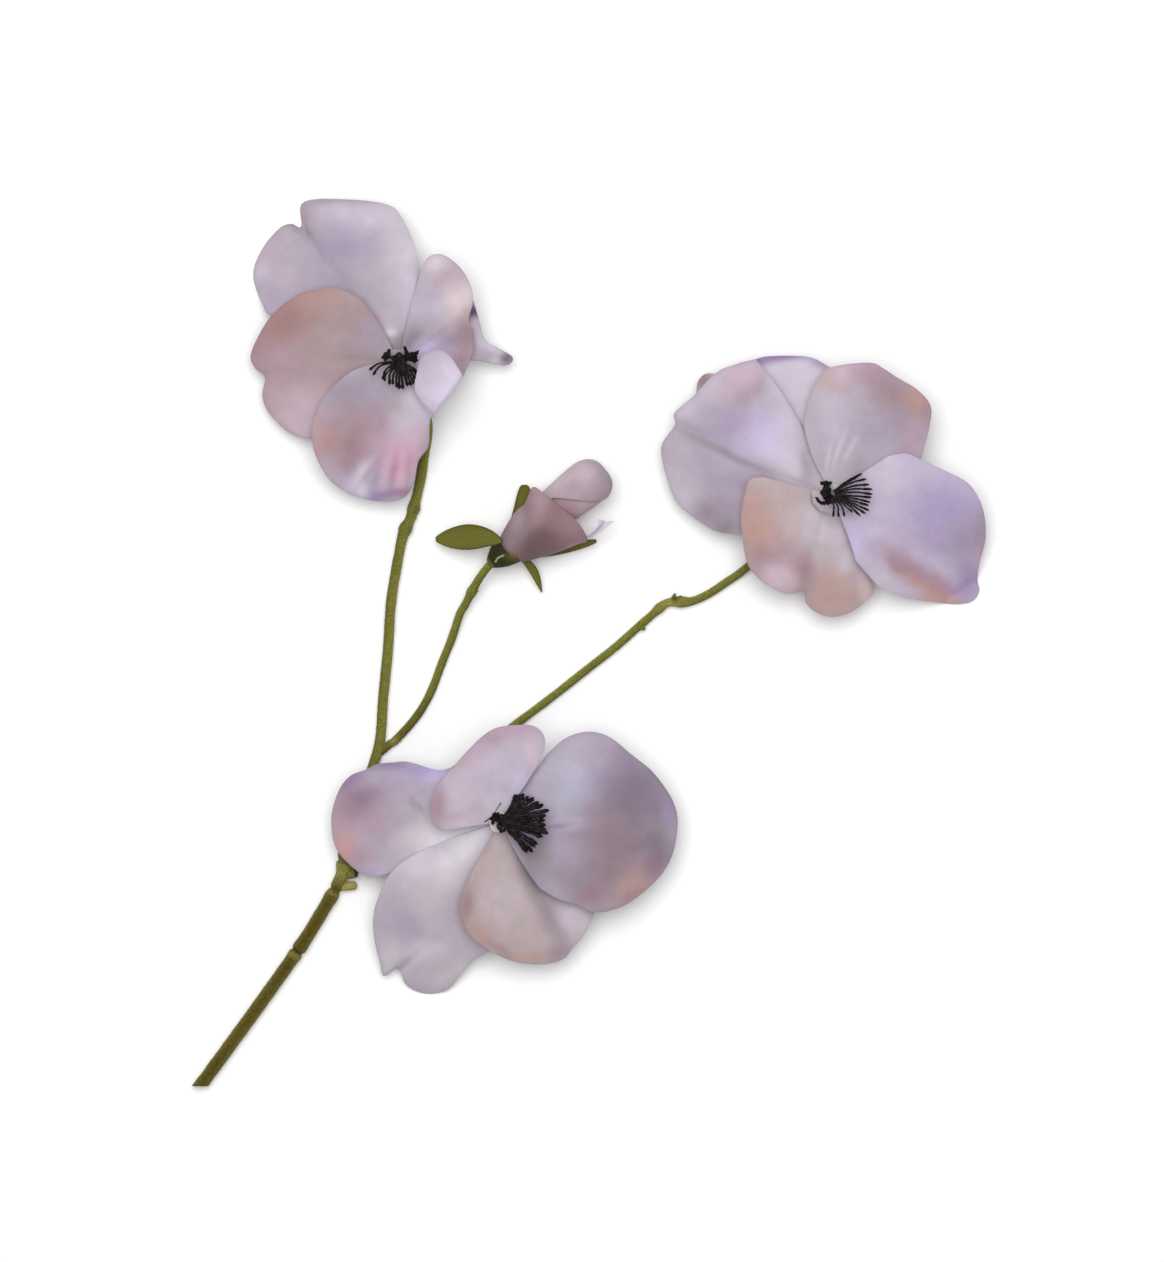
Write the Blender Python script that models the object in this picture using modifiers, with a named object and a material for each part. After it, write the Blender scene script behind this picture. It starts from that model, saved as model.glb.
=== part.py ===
"""A cut pansy spray lying on a surface: three open blooms and a bud on one branched stem.

Sizes are in millimetres and are turned into metres where a mesh or curve is made. The spray lies on
the plane z = 0 with its blooms facing up. Plan positions are those seen from straight above, from
VIEW_HEIGHT over the point VIEW_CENTRE.
"""
import math

import bmesh
import bpy
import numpy as np
from mathutils import Matrix, Vector

MM = 0.001
OBJECT_NAME = "pansy_spray"

# Seen from this height, what lies higher looks larger in plan, and is drawn in by as much.
VIEW_HEIGHT = 1600.0
VIEW_CENTRE = (-2.1, 3.1)
# Moves the whole spray so that its box stands centred on the origin.
PLAN_SHIFT = (0.6, -0.2)

# Petals and sepals are fabric blades.
PETAL_THICKNESS = 0.6
SEPAL_THICKNESS = 0.6
PETAL_ROWS = 7
PETAL_COLUMNS = 14
CLAW_RADIUS = 2.05
# Where a petal lies on the surface its middle is this share of its thickness up, before it is
# pressed flat.
PRESSED_SHARE = 0.4

# A bloom's parts stack up from the top of its calyx cup.
CUP_LENGTH = 6.0
CUP_TOP_RADIUS = 2.9
SEAT_GAP = 0.55
STAR_LEVEL = 0.85
STAR_REACH = 11.0
STAR_CORE = 3.3
STAR_FLAT = 4.5
STAR_DROOP = 4.4
FIRST_CLAW_LEVEL = 2.15
CLAW_STEP = 0.95
PIN_RADIUS = 1.5
PIN_FOOT = 1.45
PIN_FLARE_LEVEL = 6.95
PIN_TOP_LEVEL = 8.1
PIN_TOP_RADIUS = 2.5
TUFT_LEVEL = 9.3
TUFT_RADIUS = 1.9
TUFT_HEIGHT = 0.85
FILAMENT_RADIUS = 0.34
CLUB_SCALE = 1.6

# Stem radii.
MAIN_RADIUS = 1.65
LEFT_RADIUS = 1.2
BUD_RADIUS = 0.96
RIGHT_RADIUS = 0.95
LOW_RADIUS = 1.1
STEM_STEP = 3.0

# Bloom centre in plan and the height of its calyx cup's top.
BLOOMS = {
    "left": (-47.9, 70.6, 10.5),
    "right": (59.9, 37.4, 11.0),
    "low": (-22.6, -44.6, 13.0),
}

# Each petal from the lowest layer to the highest: its rim as (bearing in degrees, reach from the
# bloom's centre, height above the surface), then how far it arches up, how its two sides bulge,
# and its crease as (place across, depth, width).
PETALS = {
    "left": {
        "back": {
            "rim": [(39, 24.0, 9), (27, 22.5, 9), (14, 22.2, 8), (8, 24.7, 6.5), (2, 28.4, 5),
                    (-2, 27.5, 4.5), (-2, 25.3, 5.5)],
            "arch": 0.5, "bulge": (0, -1.2),
        },
        "top": {
            "rim": [(160, 35.3, 4), (150, 42.0, -1.2), (141, 44.1, -2.2), (132, 44.6, -2.2),
                    (128, 43.5, -2), (126, 41.5, -1.2), (121, 46.2, 1), (109, 42.7, 4), (94, 39.1, 7),
                    (88, 35.0, 9), (81, 27.8, 11), (78, 23.9, 12)],
            "arch": 1.6, "bulge": (0, 0.6), "crease": (0.36, 1.2, 0.07),
            "stops": (0, 0.15, 0.3, 0.45, 0.6, 0.73, 0.84, 0.92, 1.0),
        },
        "right": {
            "rim": [(76, 24.0, 15), (74, 27.0, 15), (69, 28.6, 15), (62, 28.5, 14.5), (53, 27.3, 13.5),
                    (44, 25.4, 13), (38, 23.3, 12.5), (30, 20.1, 12.3), (21, 19.9, 12), (8, 18.6, 11.5),
                    (-11, 16.7, 11.5), (-17, 16.1, 11.5)],
            "arch": 1.5, "bulge": (0.4, 0), "crease": (0.6, 1.0, 0.07),
        },
        "left": {
            "rim": [(122, 18.5, 15.5), (130, 23.6, 13.5), (137, 26.6, 12), (147, 30.2, 10),
                    (159, 33.4, 8), (169, 35.4, 6.5), (178, 37.0, 5.5), (183, 35.8, 5.2),
                    (187, 33.6, 5.2), (194, 35.1, 4.5), (201, 35.0, 4), (211, 33.2, 4.5),
                    (218, 31.0, 5.5), (224, 28.1, 7)],
            "arch": 1.8, "bulge": (0.7, 0), "crease": (0.56, 0.8, 0.06),
        },
        "bottom": {
            "rim": [(192, 11.5, 17), (199, 16.1, 16), (207, 21.2, 14.5), (215, 25.9, 12.5),
                    (222, 29.1, 11), (230, 31.8, 9.5), (240, 34.4, 8), (250, 35.4, 7), (258, 35.5, 6.5),
                    (267, 35.1, 6.5), (273, 33.8, 7), (277, 30.5, 8), (281, 25.4, 9.5), (286, 21.9, 11),
                    (296, 17.4, 13.5), (301, 16.4, 14.5), (308, 20.6, 15), (315, 24.8, 15.3), (322, 27.1, 15.5),
                    (330, 29.8, 15.5), (338, 28.7, 16), (342, 25.8, 16), (343, 21.0, 16),
                    (343, 16.5, 16)],
            "arch": 1.6, "bulge": (0.6, 0), "fold": True, "columns": 24,
            "stops": (0, 0.15, 0.3, 0.4, 0.48, 0.55, 0.62, 0.7, 0.84, 1.0),
        },
    },
    "right": {
        "back": {
            "rim": [(143, 41.9, 4.5), (140, 43.2, 4), (137, 43.4, 4), (135, 42.6, 4.5), (132, 40.4, 5),
                    (125, 39.1, 5.5), (118, 38.3, 6), (114, 37.6, 6.3), (104, 35.5, 7), (97, 34.1, 7.5),
                    (89, 31.3, 8)],
            "arch": 0.8, "bulge": (0, 0),
        },
        "left": {
            "rim": [(119, 38.5, 11), (125, 39.8, 10.5), (133, 41.5, 9.5), (144, 41.9, 8), (149, 43.0, 7.5),
                    (153, 43.8, 7), (156, 42.4, 6.5), (163, 43.7, 6), (167, 43.2, 5.5), (174, 41.1, 5),
                    (183, 38.4, 5), (190, 34.3, 5.5), (198, 30.0, 6.5), (203, 25.4, 8),
                    (204, 21.3, 9)],
            "arch": 1.8, "bulge": (2.0, 0), "crease": (0.47, 1.6, 0.06),
        },
        "top": {
            "rim": [(111, 18.4, 15.5), (102, 24.8, 14.5), (94, 30.1, 14), (87, 32.0, 13.5),
                    (73, 34.2, 13), (67, 34.0, 12.8), (60, 33.5, 12.5), (50, 33.9, 12),
                    (41, 33.3, 11.5), (34, 29.9, 12), (28, 26.9, 12.5), (21, 24.4, 13)],
            "arch": 2.0, "bulge": (0.8, 0),
        },
        "bottom": {
            "rim": [(166, 17.0, 16.5), (170, 20.3, 16), (181, 21.4, 14.5), (196, 23.1, 13),
                    (209, 24.8, 12), (221, 27.1, 11), (232, 27.7, 10.5), (242, 27.5, 10),
                    (249, 26.7, 9.5), (255, 25.1, 9), (258, 28.1, 8.5), (265, 30.1, 8),
                    (272, 30.7, 7.5), (281, 29.8, 7), (291, 27.6, 6.5), (295, 25.9, 6.5)],
            "arch": 2.2, "bulge": (0, 0), "crease": (0.66, 1.2, 0.06),
        },
        "right": {
            "rim": [(33, 17.2, 17), (28, 21.5, 16.2), (21, 24.1, 15.5), (12, 28.8, 13.5), (5, 34.1, 11.5),
                    (-1, 36.9, 10), (-8, 38.9, 8.5), (-16, 40.4, 6.5), (-24, 41.0, 4.5),
                    (-30, 42.5, 0.5), (-33, 44.5, -2.4), (-37, 44.6, -2.8), (-41, 42.1, -2),
                    (-46, 37.6, 2.5), (-54, 32.0, 7.5), (-61, 27.2, 10.5), (-64, 23.6, 12),
                    (-69, 17.8, 14.5)],
            "arch": 2.4, "bulge": (0, -0.4),
            "stops": (0, 0.15, 0.3, 0.45, 0.6, 0.73, 0.84, 0.92, 1.0),
        },
    },
    "low": {
        "left": {
            "rim": [(132, 18.1, 13), (141, 20.6, 12), (147, 27.4, 10.5), (151, 30.5, 10),
                    (155, 34.0, 9.5), (159, 36.1, 9), (163, 39.1, 8.5), (169, 41.0, 8), (178, 42.1, 7),
                    (187, 41.8, 6.5), (193, 40.2, 6.5), (201, 36.8, 7.5), (204, 33.8, 8.5),
                    (205, 29.1, 10)],
            "arch": 1.6, "bulge": (0, 0),
        },
        "lower_left": {
            "rim": [(201, 23.2, 13.5), (203, 27.4, 12.5), (207, 31.9, 11), (215, 38.3, 8.5),
                    (222, 42.4, 6.5), (229, 45.9, 4.5), (233, 48.2, 3), (235, 44.6, 3.5),
                    (240, 46.9, 1.5), (245, 47.0, 0.5), (249, 45.9, 0.5), (253, 43.5, 1.5),
                    (256, 38.7, 4), (259, 35.1, 6), (266, 32.2, 8)],
            "arch": 2.0, "bulge": (0.5, 0),
        },
        "bottom": {
            "rim": [(241, 15.1, 17), (243, 21.5, 16), (248, 25.8, 14.5), (256, 29.5, 13),
                    (266, 32.3, 11.5), (274, 34.6, 10.2), (281, 36.1, 9.2), (288, 37.3, 8.5),
                    (295, 37.7, 8), (300, 36.3, 8), (306, 35.2, 8.5), (316, 32.7, 9.5)],
            "arch": 2.2, "bulge": (0, 0), "crease": (0.72, -0.8, 0.1),
        },
        "right": {
            "rim": [(-59, 19.4, 17), (-53, 24.1, 16), (-47, 28.5, 14.5), (-44, 32.4, 13),
                    (-39, 35.3, 12), (-32, 38.1, 11), (-23, 40.9, 10), (-16, 42.9, 9.5), (-9, 44.0, 9.5),
                    (0, 44.4, 9.5), (6, 43.7, 10), (12, 42.0, 10.5), (19, 39.8, 11.5), (27, 36.9, 12.5),
                    (35, 35.2, 13.5), (41, 33.6, 14.5), (47, 30.7, 15.5), (52, 26.3, 16),
                    (55, 20.4, 16.5)],
            "arch": 2.4, "bulge": (0.6, 0), "columns": 18,
        },
        "top": {
            "rim": [(189, 14.4, 19.5), (183, 16.6, 19.3), (177, 17.3, 19.3), (165, 17.6, 19.5),
                    (153, 18.0, 19.5), (143, 17.9, 19.5), (132, 17.9, 19.5), (116, 19.3, 19.5),
                    (101, 21.9, 19), (91, 23.6, 18.7), (76, 25.0, 18.7), (69, 25.3, 19),
                    (63, 24.2, 19.8), (59, 21.7, 20.5), (57, 18.0, 20.8)],
            "arch": 1.8, "bulge": (0, 0.3),
        },
    },
}

# The left bloom's bottom petal folds up and back over this line, which starts in plan at
# FOLD_START from the bloom's centre. The roll widens from its start over FOLD_LENGTH.
FOLD_START = (8.25, -14.0)
FOLD_BEARING = 51.9
FOLD_RADII = (0.7, 2.1)
FOLD_LENGTH = 10.0
FOLD_ANGLE = 158.0
FOLD_RAMP = 3.0

# Stamen tips of each bloom: (bearing, reach).
STAMENS = {
    "left": [(195, 7.8), (207, 7.3), (216, 6.3), (233, 6.4), (248, 6.5), (256, 5.8), (275, 7.3),
             (291, 6.9), (304, 6.9), (324, 5.8), (132, 3.4), (64, 4.0), (27, 5.2), (6, 4.8)],
    "right": [(32, 9.4), (22, 10.0), (13, 10.1), (6, 10.5), (0, 10.6), (-5, 10.3), (-12, 10.2),
              (-18, 10.1), (-23, 10.4), (-30, 9.5), (-37, 9.2), (-60, 6.5), (-81, 5.8),
              (160, 3.0), (225, 3.2)],
    "low": [(61, 8.4), (53, 9.0), (47, 9.7), (36, 10.7), (28, 10.7), (22, 11.8), (13, 12.7),
            (3, 11.6), (-2, 11.7), (-13, 12.6), (-20, 10.6), (-32, 11.1), (-40, 11.8),
            (-49, 10.5), (197, 2.4), (265, 3.4)],
}
FILAMENT_DROP = {"left": 0.6, "right": 0.8, "low": 0.6}

# Stem routes as (x, y, z). The last three points of a bloom's branch stand under its centre.
MAIN_ROUTE = [(-103.2, -118.6, 1.7), (-97.5, -110.6, 1.7), (-85.4, -94.0, 1.7), (-73.1, -76.7, 1.7),
              (-67.2, -67.3, 1.7), (-62.6, -59.2, 1.8), (-61.4, -55.0, 1.9)]
MAIN_CUT_Y = -110.6
STUBS = [((-62.8, -57.8, 1.9), (-58.4, -57.4, 2.1), 1.05), ((-63.4, -60.8, 1.7), (-58.6, -60.5, 1.5), 0.95)]
LEFT_ROUTE = [(-61.7, -54.2, 1.8), (-61.8, -52.3, 1.6), (-59.6, -46.0, 1.3), (-56.8, -38.6, 1.2),
              (-54.6, -31.4, 1.2), (-52.6, -24.3, 1.2), (-51.8, -13.8, 1.2), (-50.6, -1.6, 1.2),
              (-49.8, 10.4, 1.2), (-47.9, 22.0, 1.2), (-46.7, 27.4, 1.2), (-44.6, 32.3, 1.2),
              (-42.5, 40.7, 1.3), (-41.6, 46.9, 1.5), (-40.7, 54.1, 1.8), (-42.2, 61.4, 2.8),
              (-45.4, 67.8, 4.2), (-47.9, 70.6, 6.2), (-47.9, 70.6, 8.3), (-47.9, 70.6, 10.5)]
BUD_ROUTE = [(-50.3, -25.3, 1.1), (-48.6, -24.1, 1.0), (-43.7, -18.6, 1.0), (-40.1, -12.6, 1.0),
             (-37.0, -4.6, 1.0), (-34.6, 1.4, 1.4), (-32.6, 7.4, 2.4), (-31.4, 9.5, 2.9),
             (-29.6, 13.0, 4.1), (-27.6, 16.5, 5.4), (-25.2, 19.6, 6.5), (-22.6, 21.9, 7.0),
             (-20.6, 23.5, 7.0)]
RIGHT_ROUTE = [(-59.5, -53.1, 1.3), (-55.8, -49.4, 1.2), (-49.4, -43.5, 1.1), (-39.4, -35.8, 1.1),
               (-29.8, -28.5, 1.1), (-18.7, -20.2, 1.1), (-10.0, -13.7, 1.1), (-1.1, -6.7, 1.1),
               (6.4, -0.8, 1.1), (11.9, 4.1, 1.1), (14.8, 6.6, 1.1), (18.4, 9.7, 1.1), (20.9, 10.4, 1.1),
               (25.1, 10.5, 1.1), (29.2, 12.2, 1.1), (33.4, 14.9, 1.2), (39.1, 19.0, 1.6),
               (49.4, 28.1, 2.8), (56.6, 34.6, 4.6), (59.9, 37.4, 6.6), (59.9, 37.4, 8.8),
               (59.9, 37.4, 11.0)]
LOW_ROUTE = [(-52.6, -46.8, 3.9), (-45.0, -46.5, 4.4), (-35.0, -45.8, 5.0), (-26.8, -45.0, 6.4),
             (-22.6, -44.6, 8.6), (-22.6, -44.6, 10.8), (-22.6, -44.6, 13.0)]

# Swellings on the stems: (place along the route, share of the radius added, half length). The main
# stem has its joint rim and its fork knuckle.
MAIN_NODES = [(51.0, 0.22, 1.3), (76.5, 0.3, 2.4)]
LEFT_NODES = [(85.0, 0.35, 1.4), (90.5, 0.25, 1.2)]
BUD_NODES = [(44.5, 0.3, 1.2)]
RIGHT_NODES = [(98.7, 0.3, 1.3), (104.5, 0.45, 1.8)]

# The bud lies along its own axis, which starts at BUD_BASE inside the cup.
BUD_BASE = (-22.6, 21.9, 7.0)
BUD_BEARING = 38.5
BUD_CUP_BACK = 3.4
BUD_CUP_FRONT = 1.4
BUD_CUP_RADIUS = 3.5
BUD_FLATTENING = 0.72
BUD_OUTER_SPREAD = 2.15
BUD_OUTER_LEAN = 0.2
BUD_OUTER_START = 1.9
BUD_OUTER_RIM = [(-40, 14.0), (0, 16.6), (25, 17.7), (56, 18.3), (88, 19.3), (115, 20.3), (143, 20.2),
                 (180, 19.1), (220, 16.0)]
BUD_ROLL_OFFSET = 0.35
BUD_ROLL_FLATTENING = 0.93
BUD_ROLL = [(2.6, 1.3), (8.0, 2.9), (14.0, 4.5), (19.0, 5.4), (25.0, 5.8), (29.6, 5.9), (32.2, 4.9),
            (33.6, 3.2)]
BUD_ROLL_START = -130.0
BUD_SEAM_LOW = (19.4, 79.0)
BUD_SEAM_HIGH = (28.6, 160.0)
BUD_HEART = [(2.3, 0.0), (2.6, 0.5), (8.0, 1.9), (14.0, 3.5), (19.0, 4.4), (25.0, 4.8), (29.6, 4.8),
             (32.0, 3.6), (32.9, 2.2), (33.2, 0.0)]
BUD_STRIP_SPINE = [(3.0, -2.4, 0.0), (8.0, -4.9, 0.0), (14.0, -7.2, 0.0), (20.0, -9.2, 0.0),
                   (24.0, -10.2, 0.2), (26.8, -10.8, 0.4)]
BUD_STRIP_HALF_WIDTHS = [0.8, 1.3, 1.5, 1.6, 1.9, 1.8]
BUD_STRIP_TILTS = [88, 88, 86, 80, 60, 35]

# Sepals of the bud: spine from the cup to the tip as (x, y, z), widest half width, tilt.
BUD_SEPALS = {
    "left": ([(-22.3, 25.5, 10.1), (-26.0, 26.4, 8.9), (-30.0, 26.6, 6.9), (-34.5, 26.3, 5.0),
              (-38.6, 26.0, 3.4)], 3.1, 0),
    "upper": ([(-23.3, 24.6, 3.7), (-20.8, 28.6, 2.6), (-18.7, 32.5, 2.0), (-17.3, 36.1, 2.0),
               (-16.2, 39.6, 2.6)], 1.8, 0),
    "right": ([(-20.2, 20.8, 3.4), (-15.0, 20.9, 2.5), (-9.5, 22.0, 2.3), (-4.5, 23.3, 2.5),
               (1.1, 24.9, 3.2)], 1.5, 10),
    "lower": ([(-19.2, 19.4, 5.0), (-16.9, 19.5, 4.4), (-14.6, 17.8, 3.4), (-13.2, 15.6, 2.6),
               (-12.3, 12.8, 2.0)], 1.0, 10),
}

COLOURS = {
    "petal_fabric": ((0.66, 0.58, 0.67), 0.62),
    "sepal_fabric": ((0.19, 0.22, 0.06), 0.75),
    "stem_flock": ((0.20, 0.20, 0.05), 0.85),
    "cup_green": ((0.05, 0.07, 0.02), 0.7),
    "throat_fabric": ((0.80, 0.76, 0.74), 0.6),
    "stamen_black": ((0.012, 0.010, 0.012), 0.5),
}


def clear_scene():
    for item in list(bpy.data.objects):
        bpy.data.objects.remove(item, do_unlink=True)


def make_collection(name):
    collection = bpy.data.collections.new(name)
    bpy.context.scene.collection.children.link(collection)
    return collection


def make_material(name):
    colour, roughness = COLOURS[name]
    material = bpy.data.materials.new(name)
    material.use_nodes = True
    shader = material.node_tree.nodes["Principled BSDF"]
    shader.inputs["Base Color"].default_value = (*colour, 1.0)
    shader.inputs["Roughness"].default_value = roughness
    shader.inputs["Metallic"].default_value = 0.0
    material.diffuse_color = (*colour, 1.0)
    return material


def drawn_in(points):
    """Points in plan as seen from VIEW_HEIGHT, moved to where they lie at their own height."""
    points = np.array(points, dtype=float)
    share = 1.0 - points[..., 2:3] / VIEW_HEIGHT
    centre = np.array(VIEW_CENTRE)
    points[..., :2] = centre + (points[..., :2] - centre) * share + np.array(PLAN_SHIFT)
    return points


def smooth_through(points, places):
    """Read a Catmull-Rom curve through the points at places counted in points, such as 1.5."""
    points = np.array(points, dtype=float)
    padded = np.vstack([2 * points[0] - points[1], points, 2 * points[-1] - points[-2]])
    places = np.clip(places, 0, len(points) - 1 - 1e-9)
    index = places.astype(int)
    u = (places - index)[:, None]
    p0, p1, p2, p3 = (padded[index + k] for k in range(4))
    return 0.5 * (2 * p1 + (p2 - p0) * u + (2 * p0 - 5 * p1 + 4 * p2 - p3) * u ** 2
                  + (3 * p1 - p0 - 3 * p2 + p3) * u ** 3)


def evenly_along(points, count):
    """Count points at even steps of length along the smooth curve through the given ones."""
    fine = smooth_through(points, np.linspace(0, len(points) - 1, 60 * len(points)))
    steps = np.linalg.norm(np.diff(fine, axis=0), axis=1)
    length = np.concatenate([[0], np.cumsum(steps)])
    wanted = np.linspace(0, length[-1], count)
    return np.stack([np.interp(wanted, length, fine[:, k]) for k in range(fine.shape[1])], axis=1)


def route_between(route, start, end, step):
    """The stretch of a route from start to end, both lengths along it, in steps of about step."""
    fine = evenly_along(route, 1500)
    steps = np.linalg.norm(np.diff(fine, axis=0), axis=1)
    length = np.concatenate([[0], np.cumsum(steps)])
    end = length[-1] + end if end <= 0 else end
    count = max(3, round((end - start) / step) + 1)
    wanted = np.linspace(start, end, count)
    return wanted, np.stack([np.interp(wanted, length, fine[:, k]) for k in range(3)], axis=1)


def add_object(name, data, material, collection):
    item = bpy.data.objects.new(name, data)
    item.data.materials.append(material)
    collection.objects.link(item)
    return item


def grid_normals(grid, closed):
    """Unit normals of a surface given as rows and columns of points."""
    along = np.gradient(grid, axis=0)
    if closed:
        across = (np.roll(grid, -1, axis=1) - np.roll(grid, 1, axis=1)) / 2
    else:
        across = np.gradient(grid, axis=1)
    normal = np.cross(along, across)
    return normal / np.maximum(np.linalg.norm(normal, axis=2, keepdims=True), 1e-9)


def press_flat(faces, thickness):
    """Lay what would dip under the surface z = 0 flat on it, as thick as the rest."""
    lowest = np.minimum(faces[0][..., 2], faces[1][..., 2])
    for face in faces:
        height = face[..., 2]
        pressed = np.where(height > lowest, np.maximum(height, thickness), 0.0)
        face[..., 2] = np.where(lowest <= 0, pressed, height)


def blade_mesh(name, grid, thickness, closed=False):
    """A closed blade round the middle surface in grid, split alike on both faces.

    A closed grid runs round in columns, and its first row is one point in the middle.
    """
    rows, columns = grid.shape[:2]
    normal = grid_normals(grid, closed)
    if closed:
        normal[0] = normal[1].mean(axis=0) / np.linalg.norm(normal[1].mean(axis=0))
    faces = [grid + normal * thickness / 2, grid - normal * thickness / 2]
    press_flat(faces, thickness)
    mesh = bmesh.new()
    sides = []
    for surface in faces:
        verts = [[mesh.verts.new(point * MM) for point in row] for row in surface[1 if closed else 0:]]
        if closed:
            middle = mesh.verts.new(surface[0].mean(axis=0) * MM)
            verts.insert(0, [middle] * columns)
        sides.append(verts)
    last = columns if closed else columns - 1
    for i in range(rows - 1):
        for j in range(last):
            k = (j + 1) % columns
            for side, verts in enumerate(sides):
                corners = [verts[i][j], verts[i][k], verts[i + 1][k], verts[i + 1][j]]
                halves = [(corners[0], corners[1], corners[2]), (corners[0], corners[2], corners[3])]
                for half in halves:
                    if len(set(half)) == 3:
                        mesh.faces.new(half if side else half[::-1])
    upper, lower = sides
    rings = [(upper[-1], lower[-1], closed)]
    if not closed:
        edge_up = [row[0] for row in upper]
        edge_low = [row[0] for row in lower]
        far_up = [row[-1] for row in upper]
        far_low = [row[-1] for row in lower]
        rings += [(upper[0], lower[0], False), (edge_up, edge_low, False), (far_up, far_low, False)]
    for top, bottom, runs_round in rings:
        count = len(top)
        for j in range(count if runs_round else count - 1):
            k = (j + 1) % count
            mesh.faces.new((top[j], top[k], bottom[k]))
            mesh.faces.new((top[j], bottom[k], bottom[j]))
    bmesh.ops.recalc_face_normals(mesh, faces=mesh.faces)
    data = bpy.data.meshes.new(name)
    mesh.to_mesh(data)
    mesh.free()
    return data


def folded(points, centre):
    """Roll what lies past the fold line up and back over it, by more the further along the line."""
    bearing = math.radians(FOLD_BEARING)
    along_line = np.array([math.cos(bearing), math.sin(bearing)])
    outward = np.array([math.sin(bearing), -math.cos(bearing)])
    start = np.array(centre) + np.array(FOLD_START)
    offset = points[..., :2] - start
    along = offset @ along_line
    radius = FOLD_RADII[0] + (FOLD_RADII[1] - FOLD_RADII[0]) * np.clip(along / FOLD_LENGTH, 0, 1)
    past = offset @ outward + radius
    ramp = np.clip((along + 1.0) / FOLD_RAMP, 0, 1)
    most = math.radians(FOLD_ANGLE) * ramp * ramp * (3 - 2 * ramp)
    turned = np.minimum(np.maximum(past, 0) / radius, most)
    beyond = np.maximum(past, 0) - radius * turned
    reach = radius * np.sin(turned) + beyond * np.cos(turned) - radius
    lift = radius * (1 - np.cos(turned)) + beyond * np.sin(turned)
    moved = past > 0
    result = points.copy()
    plan = start + along[..., None] * along_line + reach[..., None] * outward
    result[..., :2] = np.where(moved[..., None], plan, points[..., :2])
    result[..., 2] += np.where(moved, lift, 0)
    return result


def petal_grid(bloom, layer, spec):
    """Middle surface of a petal: straight fan lines from its claw to its rim, arched between."""
    x, y, cup_top = BLOOMS[bloom]
    columns = spec.get("columns", PETAL_COLUMNS)
    rim = [(x + reach * math.cos(math.radians(bearing)), y + reach * math.sin(math.radians(bearing)), z)
           for bearing, reach, z in spec["rim"]]
    rim = evenly_along(rim, columns + 1)
    first, last = (math.radians(spec["rim"][k][0]) for k in (0, -1))
    turn = np.linspace(first, last, columns + 1)
    claw = np.stack([x + CLAW_RADIUS * np.cos(turn), y + CLAW_RADIUS * np.sin(turn),
                     np.full(columns + 1, cup_top + FIRST_CLAW_LEVEL + CLAW_STEP * layer)], axis=1)
    s = np.array(spec.get("stops", np.linspace(0, 1, PETAL_ROWS + 1)))[:, None]
    t = np.linspace(0, 1, columns + 1)[None, :]
    grid = claw[None] + s[..., None] * (rim - claw)[None]
    sides = rim[[0, -1], :2] - claw[[0, -1], :2]
    sides /= np.linalg.norm(sides, axis=1)[:, None]
    sign = 1.0 if last > first else -1.0
    for side, bulge, share in ((0, -sign * spec["bulge"][0], (1 - t) ** 3), (1, sign * spec["bulge"][1], t ** 3)):
        outward = np.array([-sides[side][1], sides[side][0]])
        grid[..., :2] += (bulge * 4 * s * (1 - s) * share)[..., None] * outward
    grid[..., 2] += spec["arch"] * 6.75 * s ** 2 * (1 - s) * (0.35 + 0.65 * np.sin(math.pi * t))
    if "crease" in spec:
        place, depth, width = spec["crease"]
        grid[..., 2] -= depth * np.exp(-((t - place) / width) ** 2) * s * (1.3 - s)
    if spec.get("fold"):
        grid = folded(grid, (x, y))
    grid[..., 2] = np.maximum(grid[..., 2], PRESSED_SHARE * PETAL_THICKNESS)
    return drawn_in(grid)


def make_petals(bloom, material, collection):
    for layer, (place, spec) in enumerate(PETALS[bloom].items()):
        name = f"{bloom}_bloom_petal_{place}"
        grid = petal_grid(bloom, layer, spec)
        add_object(name, blade_mesh(name, grid, PETAL_THICKNESS), material, collection)


def make_sepal_star(bloom, material, collection):
    """Five pointed sepals in one piece under the petals, a disc whose reach varies with bearing."""
    x, y, cup_top = BLOOMS[bloom]
    columns = 20
    turn = np.linspace(0, 2 * math.pi, columns, endpoint=False)
    reach = STAR_CORE + (STAR_REACH - STAR_CORE) * np.abs(np.cos(2.5 * turn)) ** 1.5
    s = np.array([0.0, 0.32, 0.66, 1.0])[:, None]
    radius = s * reach[None, :]
    drop = STAR_DROOP * np.maximum(radius - STAR_FLAT, 0) / (STAR_REACH - STAR_FLAT)
    grid = np.stack([x + radius * np.cos(turn), y + radius * np.sin(turn),
                     cup_top + STAR_LEVEL - drop], axis=2)
    name = f"{bloom}_bloom_sepals"
    data = blade_mesh(name, drawn_in(grid), SEPAL_THICKNESS, closed=True)
    add_object(name, data, material, collection)


def turned_object(name, profile, steps, material, collection):
    """A closed profile of (radius, height) points turned about the object's own Z axis."""
    data = bpy.data.meshes.new(name)
    verts = [(radius * MM, 0.0, height * MM) for radius, height in profile]
    data.from_pydata(verts, [(k, k + 1) for k in range(len(verts) - 1)], [])
    item = add_object(name, data, material, collection)
    screw = item.modifiers.new("turned", "SCREW")
    screw.steps = steps
    screw.render_steps = steps
    screw.use_merge_vertices = True
    screw.merge_threshold = 0.00001
    screw.use_normal_calculate = True
    return item


def make_centre(bloom, material, collection):
    """The pin that the petals sit round, with a flared pale top."""
    profile = [(0, PIN_TOP_LEVEL), (PIN_TOP_RADIUS - 0.5, PIN_TOP_LEVEL), (PIN_TOP_RADIUS, PIN_TOP_LEVEL - 0.4),
               (PIN_RADIUS, PIN_FLARE_LEVEL), (PIN_RADIUS, PIN_FOOT), (0, PIN_FOOT)]
    item = turned_object(f"{bloom}_bloom_centre", profile, 16, material, collection)
    item.location = Vector(drawn_in(BLOOMS[bloom])) * MM


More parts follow.
